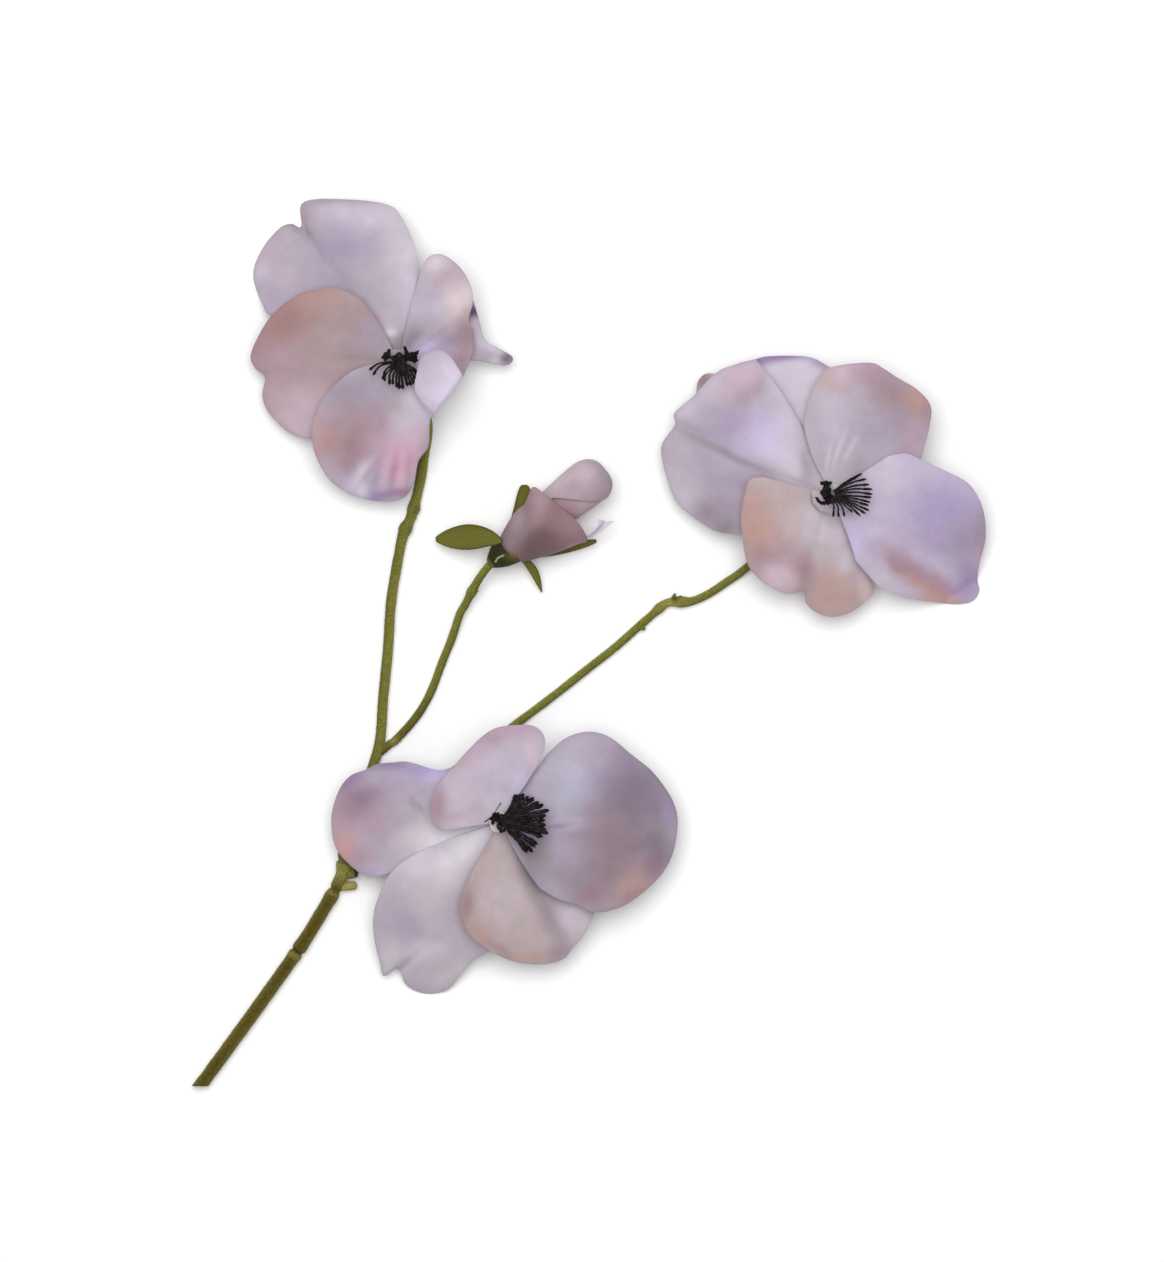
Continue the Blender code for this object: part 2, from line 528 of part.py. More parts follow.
def curve_object(name, points, radii, material, collection, resolution=2):
    """A tube through the points with a radius at each, closed at both ends."""
    data = bpy.data.curves.new(name, "CURVE")
    data.dimensions = "3D"
    data.bevel_depth = MM
    data.bevel_resolution = resolution
    data.use_fill_caps = True
    spline = data.splines.new("POLY")
    spline.points.add(len(points) - 1)
    for target, point, radius in zip(spline.points, points, radii):
        target.co = (*(np.array(point) * MM), 1.0)
        target.radius = radius
    return add_object(name, data, material, collection)


def as_mesh(item):
    """The object as a mesh object of the same name, with a curve's caps welded on."""
    graph = bpy.context.evaluated_depsgraph_get()
    data = bpy.data.meshes.new_from_object(item.evaluated_get(graph))
    mesh = bmesh.new()
    mesh.from_mesh(data)
    bmesh.ops.remove_doubles(mesh, verts=mesh.verts, dist=0.000001)
    bmesh.ops.recalc_face_normals(mesh, faces=mesh.faces)
    mesh.to_mesh(data)
    mesh.free()
    name = item.name
    place = item.matrix_world.copy()
    collection = item.users_collection[0]
    bpy.data.objects.remove(item, do_unlink=True)
    fresh = bpy.data.objects.new(name, data)
    fresh.matrix_world = place
    collection.objects.link(fresh)
    return fresh


def joined(name, base, others, material, collection, cutter=None):
    """One mesh object that is the union of the base and the others, less the cutter."""
    group = make_collection(name + "_pieces")
    for item in others:
        for holder in list(item.users_collection):
            holder.objects.unlink(item)
        group.objects.link(item)
    union = base.modifiers.new("union", "BOOLEAN")
    union.operation = "UNION"
    union.operand_type = "COLLECTION"
    union.collection = group
    union.solver = "EXACT"
    if cutter:
        cut = base.modifiers.new("cut", "BOOLEAN")
        cut.operation = "DIFFERENCE"
        cut.object = cutter
        cut.solver = "EXACT"
    bpy.context.view_layer.update()
    graph = bpy.context.evaluated_depsgraph_get()
    data = bpy.data.meshes.new_from_object(base.evaluated_get(graph))
    data.name = name
    data.materials.clear()
    for item in [base, *others]:
        bpy.data.objects.remove(item, do_unlink=True)
    bpy.data.collections.remove(group)
    return add_object(name, data, material, collection)


def make_stamens(bloom, material, collection):
    """A tuft of club-tipped threads that spring from a low dome."""
    x, y, cup_top = BLOOMS[bloom]
    level = cup_top + TUFT_LEVEL
    dome_data = bpy.data.meshes.new("dome")
    mesh = bmesh.new()
    bmesh.ops.create_uvsphere(mesh, u_segments=10, v_segments=6, radius=MM)
    bmesh.ops.scale(mesh, vec=(TUFT_RADIUS, TUFT_RADIUS, TUFT_HEIGHT), verts=mesh.verts)
    bmesh.ops.translate(mesh, vec=Vector(drawn_in((x, y, level))) * MM, verts=mesh.verts)
    mesh.to_mesh(dome_data)
    mesh.free()
    dome = bpy.data.objects.new("dome", dome_data)
    collection.objects.link(dome)
    threads = []
    for number, (bearing, reach) in enumerate(STAMENS[bloom]):
        turn = math.radians(bearing)
        rise = 0.35 * (number % 3)
        route = []
        for share in (0.06, 0.55, 1.0):
            height = level + rise * math.sin(math.pi * share) - FILAMENT_DROP[bloom] * share ** 2
            route.append((x + reach * share * math.cos(turn), y + reach * share * math.sin(turn), height))
        radii = [FILAMENT_RADIUS, FILAMENT_RADIUS, FILAMENT_RADIUS * CLUB_SCALE]
        thread = curve_object(f"thread_{number}", drawn_in(route), radii, material, collection, 0)
        threads.append(as_mesh(thread))
    joined(f"{bloom}_bloom_stamens", dome, threads, material, collection)


def swollen(places, radius, nodes):
    """The radius at each place along a branch, swollen at its nodes."""
    extra = sum((share * np.exp(-((places - place) / half) ** 2) for place, share, half in nodes),
                np.zeros_like(places))
    return radius * (1 + extra)


def make_branch(name, route, radius, nodes, cup_length, material, collection):
    """A branch up to SEAT_GAP short of the cup at the route's end."""
    places, points = route_between(route, 0.0, -(cup_length + SEAT_GAP), STEM_STEP)
    radii = swollen(places, radius, nodes)
    points[:, 2] = np.maximum(points[:, 2], radii)
    curve_object(name, drawn_in(points), radii, material, collection)


def make_cup(name, route, radius, material, collection):
    """A calyx cup that widens along the last stretch of its branch's route."""
    _, points = route_between(route, 0.0, 0.0, 0.5)
    length = np.concatenate([[0], np.cumsum(np.linalg.norm(np.diff(points, axis=0), axis=1))])
    wanted = np.linspace(length[-1] - CUP_LENGTH, length[-1], 6)
    points = np.stack([np.interp(wanted, length, points[:, k]) for k in range(3)], axis=1)
    share = np.linspace(0, 1, 6)
    radii = radius + (CUP_TOP_RADIUS - radius) * np.sin(share * math.pi / 2) ** 1.3
    curve_object(name, drawn_in(points), radii, material, collection, 3)


def make_main_stem(material, collection, cutters):
    """The main stem with its joint rim, fork knuckle and two stubs, cut off straight across."""
    places, points = route_between(MAIN_ROUTE, 0.0, 0.0, 2.0)
    radii = swollen(places, MAIN_RADIUS, MAIN_NODES)
    points[:, 2] = np.maximum(points[:, 2], radii)
    trunk = as_mesh(curve_object("trunk", drawn_in(points), radii, material, collection))
    stubs = []
    for number, (start, end, radius) in enumerate(STUBS):
        stub = curve_object(f"stub_{number}", drawn_in([start, end]), [radius, radius], material, collection)
        stubs.append(as_mesh(stub))
    data = bpy.data.meshes.new("stem_cutter")
    mesh = bmesh.new()
    bmesh.ops.create_cube(mesh, size=40 * MM)
    mesh.to_mesh(data)
    mesh.free()
    cutter = bpy.data.objects.new("stem_cutter", data)
    cutters.objects.link(cutter)
    cutter.location = Vector((MAIN_ROUTE[0][0], MAIN_CUT_Y - 20, 0)) * MM
    cutter.hide_render = True
    cutter.display_type = "WIRE"
    joined("main_stem", trunk, stubs, material, collection, cutter)
    bpy.data.objects.remove(cutter, do_unlink=True)


def bud_frame():
    """The bud's base point and its axis, left-hand and upward directions."""
    bearing = math.radians(BUD_BEARING)
    along = np.array([math.cos(bearing), math.sin(bearing), 0.0])
    left = np.array([-math.sin(bearing), math.cos(bearing), 0.0])
    return np.array(BUD_BASE), along, left, np.array([0.0, 0.0, 1.0])


def in_bud(u, left_offset, up_offset):
    """World plan points from distances along the bud's axis, to its left and up."""
    base, along, left, up = bud_frame()
    return (base + u[..., None] * along + left_offset[..., None] * left + up_offset[..., None] * up)


def make_bud_outer_petal(material, collection):
    """The petal wrapped round the bud's base, a cone that opens as the square root of its length."""
    rows, columns = 7, 16
    table = np.array(BUD_OUTER_RIM, dtype=float)
    degrees = np.linspace(table[0, 0], table[-1, 0], columns + 1)
    length = evenly_along(table, 200)
    length = np.interp(degrees, length[:, 0], length[:, 1])
    s = np.linspace(0, 1, rows + 1)[:, None]
    u = BUD_OUTER_START + s * (length[None] - BUD_OUTER_START)
    turn = np.radians(degrees)[None] + 0 * u
    radius = (BUD_OUTER_SPREAD - BUD_OUTER_LEAN * np.cos(turn)) * np.sqrt(u)
    grid = in_bud(u, radius * np.cos(turn), radius * BUD_FLATTENING * np.sin(turn))
    name = "bud_petal_outer"
    add_object(name, blade_mesh(name, drawn_in(grid), PETAL_THICKNESS), material, collection)


def make_bud_inner_petal(material, collection):
    """The petal rolled round the bud's heart, whose free edge runs slantwise across the top."""
    rows, columns = 9, 12
    profile = evenly_along(BUD_ROLL, rows + 1)
    u = profile[:, :1]
    slope = (BUD_SEAM_HIGH[1] - BUD_SEAM_LOW[1]) / (BUD_SEAM_HIGH[0] - BUD_SEAM_LOW[0])
    seam = np.clip(BUD_SEAM_LOW[1] + slope * (u - BUD_SEAM_LOW[0]), 70, 165)
    t = np.linspace(0, 1, columns + 1)[None]
    turn = np.radians(BUD_ROLL_START + t * (seam - BUD_ROLL_START))
    radius = profile[:, 1:] + 0 * turn
    grid = in_bud(u + 0 * turn, BUD_ROLL_OFFSET + radius * np.cos(turn),
                  radius * BUD_ROLL_FLATTENING * np.sin(turn))
    name = "bud_petal_inner"
    add_object(name, blade_mesh(name, drawn_in(grid), PETAL_THICKNESS), material, collection)


def make_bud_heart(material, collection):
    """The closed heart of the bud inside the rolled petal."""
    item = turned_object("bud_heart", [(radius, u) for u, radius in reversed(BUD_HEART)], 14, material,
                         collection)
    _, along, left, up = bud_frame()
    flattened = Matrix.Diagonal((1.0, BUD_ROLL_FLATTENING, 1.0, 1.0))
    turned = Matrix((left, up, along)).transposed().to_4x4()
    base = Vector(drawn_in(np.array(BUD_BASE) + BUD_ROLL_OFFSET * left)) * MM
    item.matrix_world = Matrix.Translation(base) @ turned @ flattened


def blade_along(name, spine, half_widths, tilts, columns, thickness, material, collection):
    """A blade whose width crosses its spine level, turned about the spine by each tilt."""
    rows = len(half_widths)
    spine = evenly_along(spine, rows)
    forward = np.gradient(spine, axis=0)
    forward /= np.linalg.norm(forward, axis=1)[:, None]
    level = np.cross(np.array([0.0, 0.0, 1.0]), forward)
    level /= np.linalg.norm(level, axis=1)[:, None]
    upright = np.cross(forward, level)
    tilt = np.radians(tilts)[:, None]
    across = level * np.cos(tilt) + upright * np.sin(tilt)
    v = np.linspace(-1, 1, columns + 1)[None, :, None]
    width = np.array(half_widths)[:, None, None]
    grid = spine[:, None] + v * width * across[:, None] + 0.25 * (v ** 2) * width * upright[:, None]
    add_object(name, blade_mesh(name, drawn_in(grid), thickness), material, collection)


def make_bud(materials, collection):
    make_bud_outer_petal(materials["petal_fabric"], collection)
    make_bud_inner_petal(materials["petal_fabric"], collection)
    make_bud_heart(materials["petal_fabric"], collection)
    strip = [in_bud(*(np.array(value) for value in point)) for point in BUD_STRIP_SPINE]
    blade_along("bud_petal_back", strip, BUD_STRIP_HALF_WIDTHS, BUD_STRIP_TILTS, 4, PETAL_THICKNESS,
                materials["petal_fabric"], collection)
    for place, (spine, half_width, tilt) in BUD_SEPALS.items():
        share = np.linspace(0, 1, 8)
        widths = half_width * np.clip(np.sin(math.pi * (0.12 + 0.83 * share)) ** 0.7, 0.12, 1)
        blade_along(f"bud_sepal_{place}", spine, widths, np.full(8, tilt), 4, SEPAL_THICKNESS,
                    materials["sepal_fabric"], collection)
    share = np.linspace(0, 1, 6)
    u = -BUD_CUP_BACK + share * (BUD_CUP_BACK + BUD_CUP_FRONT)
    points = in_bud(u, 0 * u, 0 * u)
    radii = BUD_RADIUS * 1.15 + (BUD_CUP_RADIUS - BUD_RADIUS * 1.15) * np.sin(share * math.pi / 2)
    curve_object("bud_cup", drawn_in(points), radii, materials["cup_green"], collection, 3)


def main():
    clear_scene()
    collection = make_collection(OBJECT_NAME)
    cutters = make_collection("cutters")
    materials = {name: make_material(name) for name in COLOURS}
    make_main_stem(materials["stem_flock"], collection, cutters)
    branches = {
        "left": (LEFT_ROUTE, LEFT_RADIUS, LEFT_NODES),
        "right": (RIGHT_ROUTE, RIGHT_RADIUS, RIGHT_NODES),
        "low": (LOW_ROUTE, LOW_RADIUS, []),
    }
    for bloom, (route, radius, nodes) in branches.items():
        make_branch(f"{bloom}_branch", route, radius, nodes, CUP_LENGTH, materials["stem_flock"], collection)
        make_cup(f"{bloom}_bloom_cup", route, radius, materials["cup_green"], collection)
        make_sepal_star(bloom, materials["sepal_fabric"], collection)
        make_petals(bloom, materials["petal_fabric"], collection)
        make_centre(bloom, materials["throat_fabric"], collection)
        make_stamens(bloom, materials["stamen_black"], collection)
    bud_cup_stretch = BUD_CUP_BACK + math.dist(BUD_ROUTE[-1], BUD_ROUTE[-2])
    make_branch("bud_branch", BUD_ROUTE, BUD_RADIUS, BUD_NODES, bud_cup_stretch,
                materials["stem_flock"], collection)
    make_bud(materials, collection)


main()
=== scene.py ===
"""Pansy spray: a cut artificial spray with three open blooms and a bud, lying face up on a pale table.

Lengths in the tables are millimetres, and plan positions are those seen from straight above, from
VIEW_HEIGHT over VIEW_CENTRE. Each surface is a function of two parameters on a grid, or a ring
carried along a path, worked out as whole arrays and turned into metres when its mesh is made.
"""
import math

import bmesh
import bpy
import numpy as np
from bpy.props import FloatProperty, FloatVectorProperty, IntProperty, PointerProperty
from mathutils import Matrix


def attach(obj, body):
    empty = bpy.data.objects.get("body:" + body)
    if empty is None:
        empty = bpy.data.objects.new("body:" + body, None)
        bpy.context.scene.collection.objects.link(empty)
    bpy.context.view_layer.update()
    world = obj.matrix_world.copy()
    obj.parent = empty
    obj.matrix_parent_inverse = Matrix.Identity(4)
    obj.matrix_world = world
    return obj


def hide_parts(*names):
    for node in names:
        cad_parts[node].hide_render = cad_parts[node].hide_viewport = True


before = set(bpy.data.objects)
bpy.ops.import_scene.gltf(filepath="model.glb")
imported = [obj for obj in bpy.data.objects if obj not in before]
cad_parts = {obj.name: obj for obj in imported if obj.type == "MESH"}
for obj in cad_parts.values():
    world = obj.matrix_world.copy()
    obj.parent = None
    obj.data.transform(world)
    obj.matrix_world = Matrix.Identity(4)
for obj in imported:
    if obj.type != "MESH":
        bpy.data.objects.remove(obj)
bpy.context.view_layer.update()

bl_info = {
    "name": "Pansy Spray",
    "version": (1, 0, 0),
    "blender": (4, 5, 0),
    "location": "View3D > Sidebar > Pansy Spray",
    "description": "Makes the petals, bud, stems, sepals and stamens of an artificial pansy spray",
    "category": "Add Mesh",
}

MM = 0.001
VIEW_HEIGHT = 1600.0
VIEW_CENTRE = (-2.1, 3.1)
PLAN_SHIFT = (0.6, -0.2)
BODY = "root"

# Sizes that the petals, pins and stems share with the solids they stand for.
PETAL_THICKNESS = 0.6
PRESSED_SHARE = 0.4
CLAW_RADIUS = 2.05
FIRST_CLAW_LEVEL = 2.15
CLAW_STEP = 0.95
CUP_LENGTH = 6.0
CUP_TOP_RADIUS = 2.9
SEAT_GAP = 0.55
STAR_LEVEL = 0.85
STAR_REACH = 11.0
STAR_CORE = 3.3
STAR_FLAT = 4.5
STAR_DROOP = 4.4
PIN_FOOT = 1.45
TUFT_LEVEL = 9.3
TUFT_HEIGHT = 0.85
MAIN_RADIUS = 1.65
BUD_RADIUS = 0.96

# Sizes that only this file has. Nothing lies lower than TABLE_GAP on the stems, and points closer than
# WELD_GAP become one. Edges sharper than the crease angles, in degrees, look sharp. RIM_SHARE is the
# part of a petal's length that its thin rim takes, and SIDE_RIM how many times smaller its part of the
# width is. The folded petal has FOLD_MORE times the rows and columns of the others.
TABLE_GAP = 0.01
WELD_GAP = 0.0005
PIECE_CREASE = 50
SHEET_CREASE = 60
SEPAL_THICKNESS = 0.4
RIM_SHARE = 0.02
SIDE_RIM = 2.2
FOLD_MORE = 1.4
RIPPLE_HEIGHT = 0.22
RIPPLE_SIZE = 16
STAR_RIB = 0.12
# The pin that holds a bloom's petals as (radius, height above the cup), and its top.
FLARE_PROFILE = [(1.5, PIN_FOOT), (1.5, 4.5), (1.5, 6.6), (1.8, 7.2), (2.4, 7.75), (2.55, 8), (2.3, 8.12),
                 (1.2, 8.05)]
FLARE_TOP = 8.0
# A thread starts on one of four levels a step apart, rises to its bend and is clubbed near its tip. The
# club's place and length are shares of the thread's length, and the other sizes are shares of its radius.
THREAD_BEND_LIFT = 0.45
THREAD_STEP = 0.12
CLUB_SIZE = 0.45
CLUB_PLACE = 0.9
CLUB_LENGTH = 0.1
THREAD_ROUGHNESS = 0.13
THREAD_TIP = 0.55
# Branches are thicker than their solids, and a stub swells by a share of its radius. A nub leans along
# its branch and rises by shares of its length.
BRANCH_FULLNESS = 1.06
NUB_LEAN = 0.6
NUB_RISE = 0.3
STUB_FULLNESS = 0.18
# How rough the flock is on the stems and on the cups, from 0 to 1.
STEM_ROUGHNESS = 0.9
CUP_ROUGHNESS = 0.85
# How many waves soft noise has and how much it is raised, and how far the outlines of the marks of
# paint wander with it, over which size.
RIPPLE_WAVES = 8
RIPPLE_GAIN = 1.6
WANDER = 0.9
WANDER_SIZE = 9

# Points along each piece, or the step between them in millimetres, and sides round it.
STAR_ROWS = 25
STAR_SIDES = 120
CUP_ROWS = 28
CUP_SIDES = 36
FLARE_ROWS = 60
FLARE_SIDES = 48
THREAD_ROWS = 22
LUMP_ROWS = 18
LUMP_SIDES = 28
BRANCH_STEP = 0.4
BRANCH_SIDES = 18
NUB_ROWS = 9
NUB_SIDES = 10
MAIN_STEP = 0.35
MAIN_SIDES = 28
STUB_ROWS = 14
STUB_SIDES = 20

# First seeds of the ripples in the petals' colours, and seeds of the stems' grain.
WARM_SEED = 40
PLEAT_SEED = 70
MAIN_SEED = 3
STUB_SEED = 40
NUB_SEED = 60

# Bloom centre in plan and the height of its calyx cup's top.
BLOOMS = {
    "left": (-47.9, 70.6, 10.5),
    "right": (59.9, 37.4, 11.0),
    "low": (-22.6, -44.6, 13.0),
}

# Each petal from the lowest layer to the highest: how far it arches up, how its two sides bulge, its
# crease as (place across, depth, width), whether it folds over, and its rim as (bearing in degrees,
# reach from the bloom's centre, height above the surface).
PETALS = {
    "left": {
        "back": {"arch": 0.5, "bulge": (0, -1.2), "rim": [(39, 24, 9), (27, 22.5, 9), (14, 22.2, 8),
            (8, 24.7, 6.5), (2, 28.4, 5), (-2, 27.5, 4.5), (-2, 25.3, 5.5)]},
        "top": {"arch": 1.6, "bulge": (0, 0.6), "crease": (0.36, 0.5, 0.09), "rim": [(160, 35.3, 4),
            (150, 42, -1.2), (141, 44.1, -2.2), (132, 44.6, -2.2), (128, 43.5, -2), (126, 41.5, -1.2),
            (121, 46.2, 1), (109, 42.7, 4), (94, 39.1, 7), (88, 35, 9), (81, 27.8, 11), (78, 23.9, 12)]},
        "right": {"arch": 1.5, "bulge": (0.4, 0), "crease": (0.6, 1, 0.07), "rim": [(76, 24, 15),
            (74, 27, 15), (69, 28.6, 15), (62, 28.5, 14.5), (53, 27.3, 13.5), (44, 25.4, 13),
            (38, 23.3, 12.5), (30, 20.1, 12.3), (21, 19.9, 12), (8, 18.6, 11.5), (-11, 16.7, 11.5),
            (-17, 16.1, 11.5)]},
        "left": {"arch": 1.8, "bulge": (0.7, 0), "crease": (0.56, 0.8, 0.06), "rim": [(122, 18.5, 15.5),
            (130, 23.6, 13.5), (137, 26.6, 12), (147, 30.2, 10), (159, 33.4, 8), (169, 35.4, 6.5),
            (178, 37, 5.5), (183, 35.8, 5.2), (187, 33.6, 5.2), (194, 35.1, 4.5), (201, 35, 4),
            (211, 33.2, 4.5), (218, 31, 5.5), (224, 28.1, 7)]},
        "bottom": {"arch": 1.6, "bulge": (0.6, 0), "fold": True, "rim": [(192, 11.5, 17), (199, 16.1, 16),
            (207, 21.2, 14.5), (215, 25.9, 12.5), (222, 29.1, 11), (230, 31.8, 9.5), (240, 34.4, 8),
            (250, 35.4, 7), (258, 35.5, 6.5), (267, 35.1, 6.5), (273, 33.8, 7), (277, 30.5, 8),
            (281, 25.5, 9.5), (289, 22.5, 11), (296, 17.4, 13.5), (301, 16.4, 14.5), (308, 20.6, 15),
            (315, 24.8, 15.3), (322, 27.1, 15.5), (330, 29.8, 15.5), (338, 28.7, 16), (342, 25.8, 16),
            (343, 21, 16), (343, 16.5, 16)]},
    },
    "right": {
        "back": {"arch": 0.8, "bulge": (0, 0), "rim": [(143, 41.9, 4.5), (140, 43.2, 4), (137, 43.4, 4),
            (135, 42.6, 4.5), (132, 40.4, 5), (125, 39.1, 5.5), (118, 38.3, 6), (114, 37.6, 6.3),
            (104, 35.5, 7), (97, 34.1, 7.5), (89, 31.3, 8)]},
        "left": {"arch": 1.8, "bulge": (2, 0), "crease": (0.47, 1.6, 0.06), "rim": [(119, 38.5, 11),
            (125, 39.8, 10.5), (133, 41.5, 9.5), (144, 41.9, 8), (149, 43, 7.5), (153, 43.8, 7),
            (156, 42.4, 6.5), (163, 43.7, 6), (167, 43.2, 5.5), (174, 41.1, 5), (183, 38.4, 5),
            (190, 34.3, 5.5), (198, 30, 6.5), (203, 25.4, 8), (204, 21.3, 9)]},
        "top": {"arch": 2, "bulge": (0.8, 0), "rim": [(111, 18.4, 15.5), (102, 24.8, 14.5), (94, 30.1, 14),
            (87, 32, 13.5), (73, 34.2, 13), (67, 34, 12.8), (60, 33.5, 12.5), (50, 33.9, 12),
            (41, 33.3, 11.5), (34, 29.9, 12), (28, 26.9, 12.5), (21, 24.4, 13)]},
        "bottom": {"arch": 2.2, "bulge": (0, 0), "crease": (0.66, 1.2, 0.06), "rim": [(166, 17, 16.5),
            (170, 20.3, 16), (181, 21.4, 14.5), (196, 23.1, 13), (209, 24.8, 12), (221, 27.1, 11),
            (232, 27.7, 10.5), (242, 27.5, 10), (249, 26.7, 9.5), (255, 25.1, 9), (258, 28.1, 8.5),
            (265, 30.1, 8), (272, 30.7, 7.5), (281, 29.8, 7), (291, 27.6, 6.5), (295, 25.9, 6.5)]},
        "right": {"arch": 2.4, "bulge": (0, -0.4), "rim": [(33, 17.2, 17), (28, 21.5, 16.2),
            (21, 24.1, 15.5), (12, 28.8, 13.5), (5, 34.1, 11.5), (-1, 36.9, 10), (-8, 38.9, 8.5),
            (-16, 40.4, 6.5), (-24, 41, 4.5), (-30, 42.5, 0.5), (-33, 44.5, -2.4), (-37, 44.6, -2.8),
            (-41, 42.1, -2), (-46, 37.6, 2.5), (-54, 32, 7.5), (-61, 27.2, 10.5), (-64, 23.6, 12),
            (-69, 17.8, 14.5)]},
    },
    "low": {
        "left": {"arch": 1.6, "bulge": (0, 0), "rim": [(132, 18.1, 13), (141, 20.6, 12), (147, 27.4, 10.5),
            (151, 30.5, 10), (155, 34, 9.5), (159, 36.1, 9), (163, 39.1, 8.5), (169, 41, 8), (178, 42.1, 7),
            (187, 41.8, 6.5), (193, 40.2, 6.5), (201, 36.8, 7.5), (204, 33.8, 8.5), (205, 29.1, 10)]},
        "lower_left": {"arch": 2, "bulge": (0.5, 0), "rim": [(201, 23.2, 13.5), (203, 27.4, 12.5),
            (207, 31.9, 11), (215, 38.3, 8.5), (222, 42.4, 6.5), (229, 45.9, 4.5), (233, 48.2, 3),
            (235, 44.6, 3.5), (240, 46.9, 1.5), (245, 47, 0.5), (249, 45.9, 0.5), (253, 43.5, 1.5),
            (256, 38.7, 4), (259, 35.1, 6), (266, 32.2, 8)]},
        "bottom": {"arch": 2.2, "bulge": (0, 0), "crease": (0.72, -0.8, 0.1), "rim": [(241, 15.1, 17),
            (243, 21.5, 16), (248, 25.8, 14.5), (256, 29.5, 13), (266, 32.3, 11.5), (274, 34.6, 10.2),
            (281, 36.1, 9.2), (288, 37.3, 8.5), (295, 37.7, 8), (300, 36.3, 8), (306, 35.2, 8.5),
            (316, 32.7, 9.5)]},
        "right": {"arch": 2.4, "bulge": (0.6, 0), "rim": [(-59, 19.4, 17), (-53, 24.1, 16),
            (-47, 28.5, 14.5), (-44, 32.4, 13), (-39, 35.3, 12), (-32, 38.1, 11), (-23, 40.9, 10),
            (-16, 42.9, 9.5), (-9, 44, 9.5), (0, 44.4, 9.5), (6, 43.7, 10), (12, 42, 10.5),
            (19, 39.8, 11.5), (27, 36.9, 12.5), (35, 35.2, 13.5), (41, 33.6, 14.5), (47, 30.7, 15.5),
            (52, 26.3, 16), (55, 20.4, 16.5)]},
        "top": {"arch": 1.8, "bulge": (0, 0.3), "rim": [(189, 14.4, 19.5), (183, 16.6, 19.3),
            (177, 17.3, 19.3), (165, 17.6, 19.5), (153, 18, 19.5), (143, 17.9, 19.5), (132, 17.9, 19.5),
            (116, 19.3, 19.5), (101, 21.9, 19), (91, 23.6, 18.7), (76, 25, 18.7), (69, 25.3, 19),
            (63, 24.2, 19.8), (59, 21.7, 20.5), (57, 18, 20.8)]},
    },
}

# The left bloom's bottom petal folds up and back over this line, which starts in plan at
# FOLD_START from the bloom's centre. The roll widens from its start over FOLD_LENGTH.
FOLD_START = (8.25, -14.0)
FOLD_BEARING = 51.9
FOLD_RADII = (0.7, 2.1)
FOLD_LENGTH = 10.0
FOLD_ANGLE = 158.0
FOLD_RAMP = 3.0

# How far the tips of each tuft's threads hang below their starts.
FILAMENT_DROP = {"left": 0.6, "right": 0.8, "low": 0.6}

# Stem routes as (x, y, z). The last three points of a bloom's branch stand under its centre.
MAIN_ROUTE = [(-103.2, -118.6, 1.7), (-97.5, -110.6, 1.7), (-85.4, -94, 1.7), (-73.1, -76.7, 1.7),
              (-67.2, -67.3, 1.7), (-62.6, -59.2, 1.8), (-61.4, -55, 1.9)]
MAIN_CUT_Y = -110.6
# Short stubs at the main stem's fork: (start, end, radius, colour, colour of the end).
STUBS = [((-62.8, -57.8, 1.9), (-58.4, -57.4, 2.1), 1.05, "olive", "scar"),
         ((-63.4, -60.8, 1.7), (-58.6, -60.5, 1.5), 0.95, "pale_olive", "pale_olive")]
LEFT_ROUTE = [(-61.7, -54.2, 1.8), (-61.8, -52.3, 1.6), (-59.6, -46, 1.3), (-56.8, -38.6, 1.2),
              (-54.6, -31.4, 1.2), (-52.6, -24.3, 1.2), (-51.8, -13.8, 1.2), (-50.6, -1.6, 1.2),
              (-49.8, 10.4, 1.2), (-47.9, 22, 1.2), (-46.7, 27.4, 1.2), (-44.6, 32.3, 1.2),
              (-42.5, 40.7, 1.3), (-41.6, 46.9, 1.5), (-40.7, 54.1, 1.8), (-42.2, 61.4, 2.8),
              (-45.4, 67.8, 4.2), (-47.9, 70.6, 6.2), (-47.9, 70.6, 8.3), (-47.9, 70.6, 10.5)]
BUD_ROUTE = [(-50.3, -25.3, 1.1), (-48.6, -24.1, 1), (-43.7, -18.6, 1), (-40.1, -12.6, 1), (-37, -4.6, 1),
             (-34.6, 1.4, 1.4), (-32.6, 7.4, 2.4), (-31.4, 9.5, 2.9), (-29.6, 13, 4.1), (-27.6, 16.5, 5.4),
             (-25.2, 19.6, 6.5), (-22.6, 21.9, 7), (-20.6, 23.5, 7)]
RIGHT_ROUTE = [(-59.5, -53.1, 1.3), (-55.8, -49.4, 1.2), (-49.4, -43.5, 1.1), (-39.4, -35.8, 1.1),
               (-29.8, -28.5, 1.1), (-18.7, -20.2, 1.1), (-10, -13.7, 1.1), (-1.1, -6.7, 1.1),
               (6.4, -0.8, 1.1), (11.9, 4.1, 1.1), (14.8, 6.6, 1.1), (18.4, 9.7, 1.1), (20.9, 10.4, 1.1),
               (25.1, 10.5, 1.1), (29.2, 12.2, 1.1), (33.4, 14.9, 1.2), (39.1, 19, 1.6), (49.4, 28.1, 2.8),
               (56.6, 34.6, 4.6), (59.9, 37.4, 6.6), (59.9, 37.4, 8.8), (59.9, 37.4, 11)]
LOW_ROUTE = [(-52.6, -46.8, 3.9), (-45, -46.5, 4.4), (-35, -45.8, 5), (-26.8, -45, 6.4),
             (-22.6, -44.6, 8.6), (-22.6, -44.6, 10.8), (-22.6, -44.6, 13)]

# Swellings on the branches: (place along the route, share of the radius added, half length).
LEFT_NODES = [(85.0, 0.35, 1.4), (90.5, 0.25, 1.2)]
BUD_NODES = [(44.5, 0.3, 1.2)]
RIGHT_NODES = [(98.7, 0.3, 1.3), (104.5, 0.45, 1.8)]

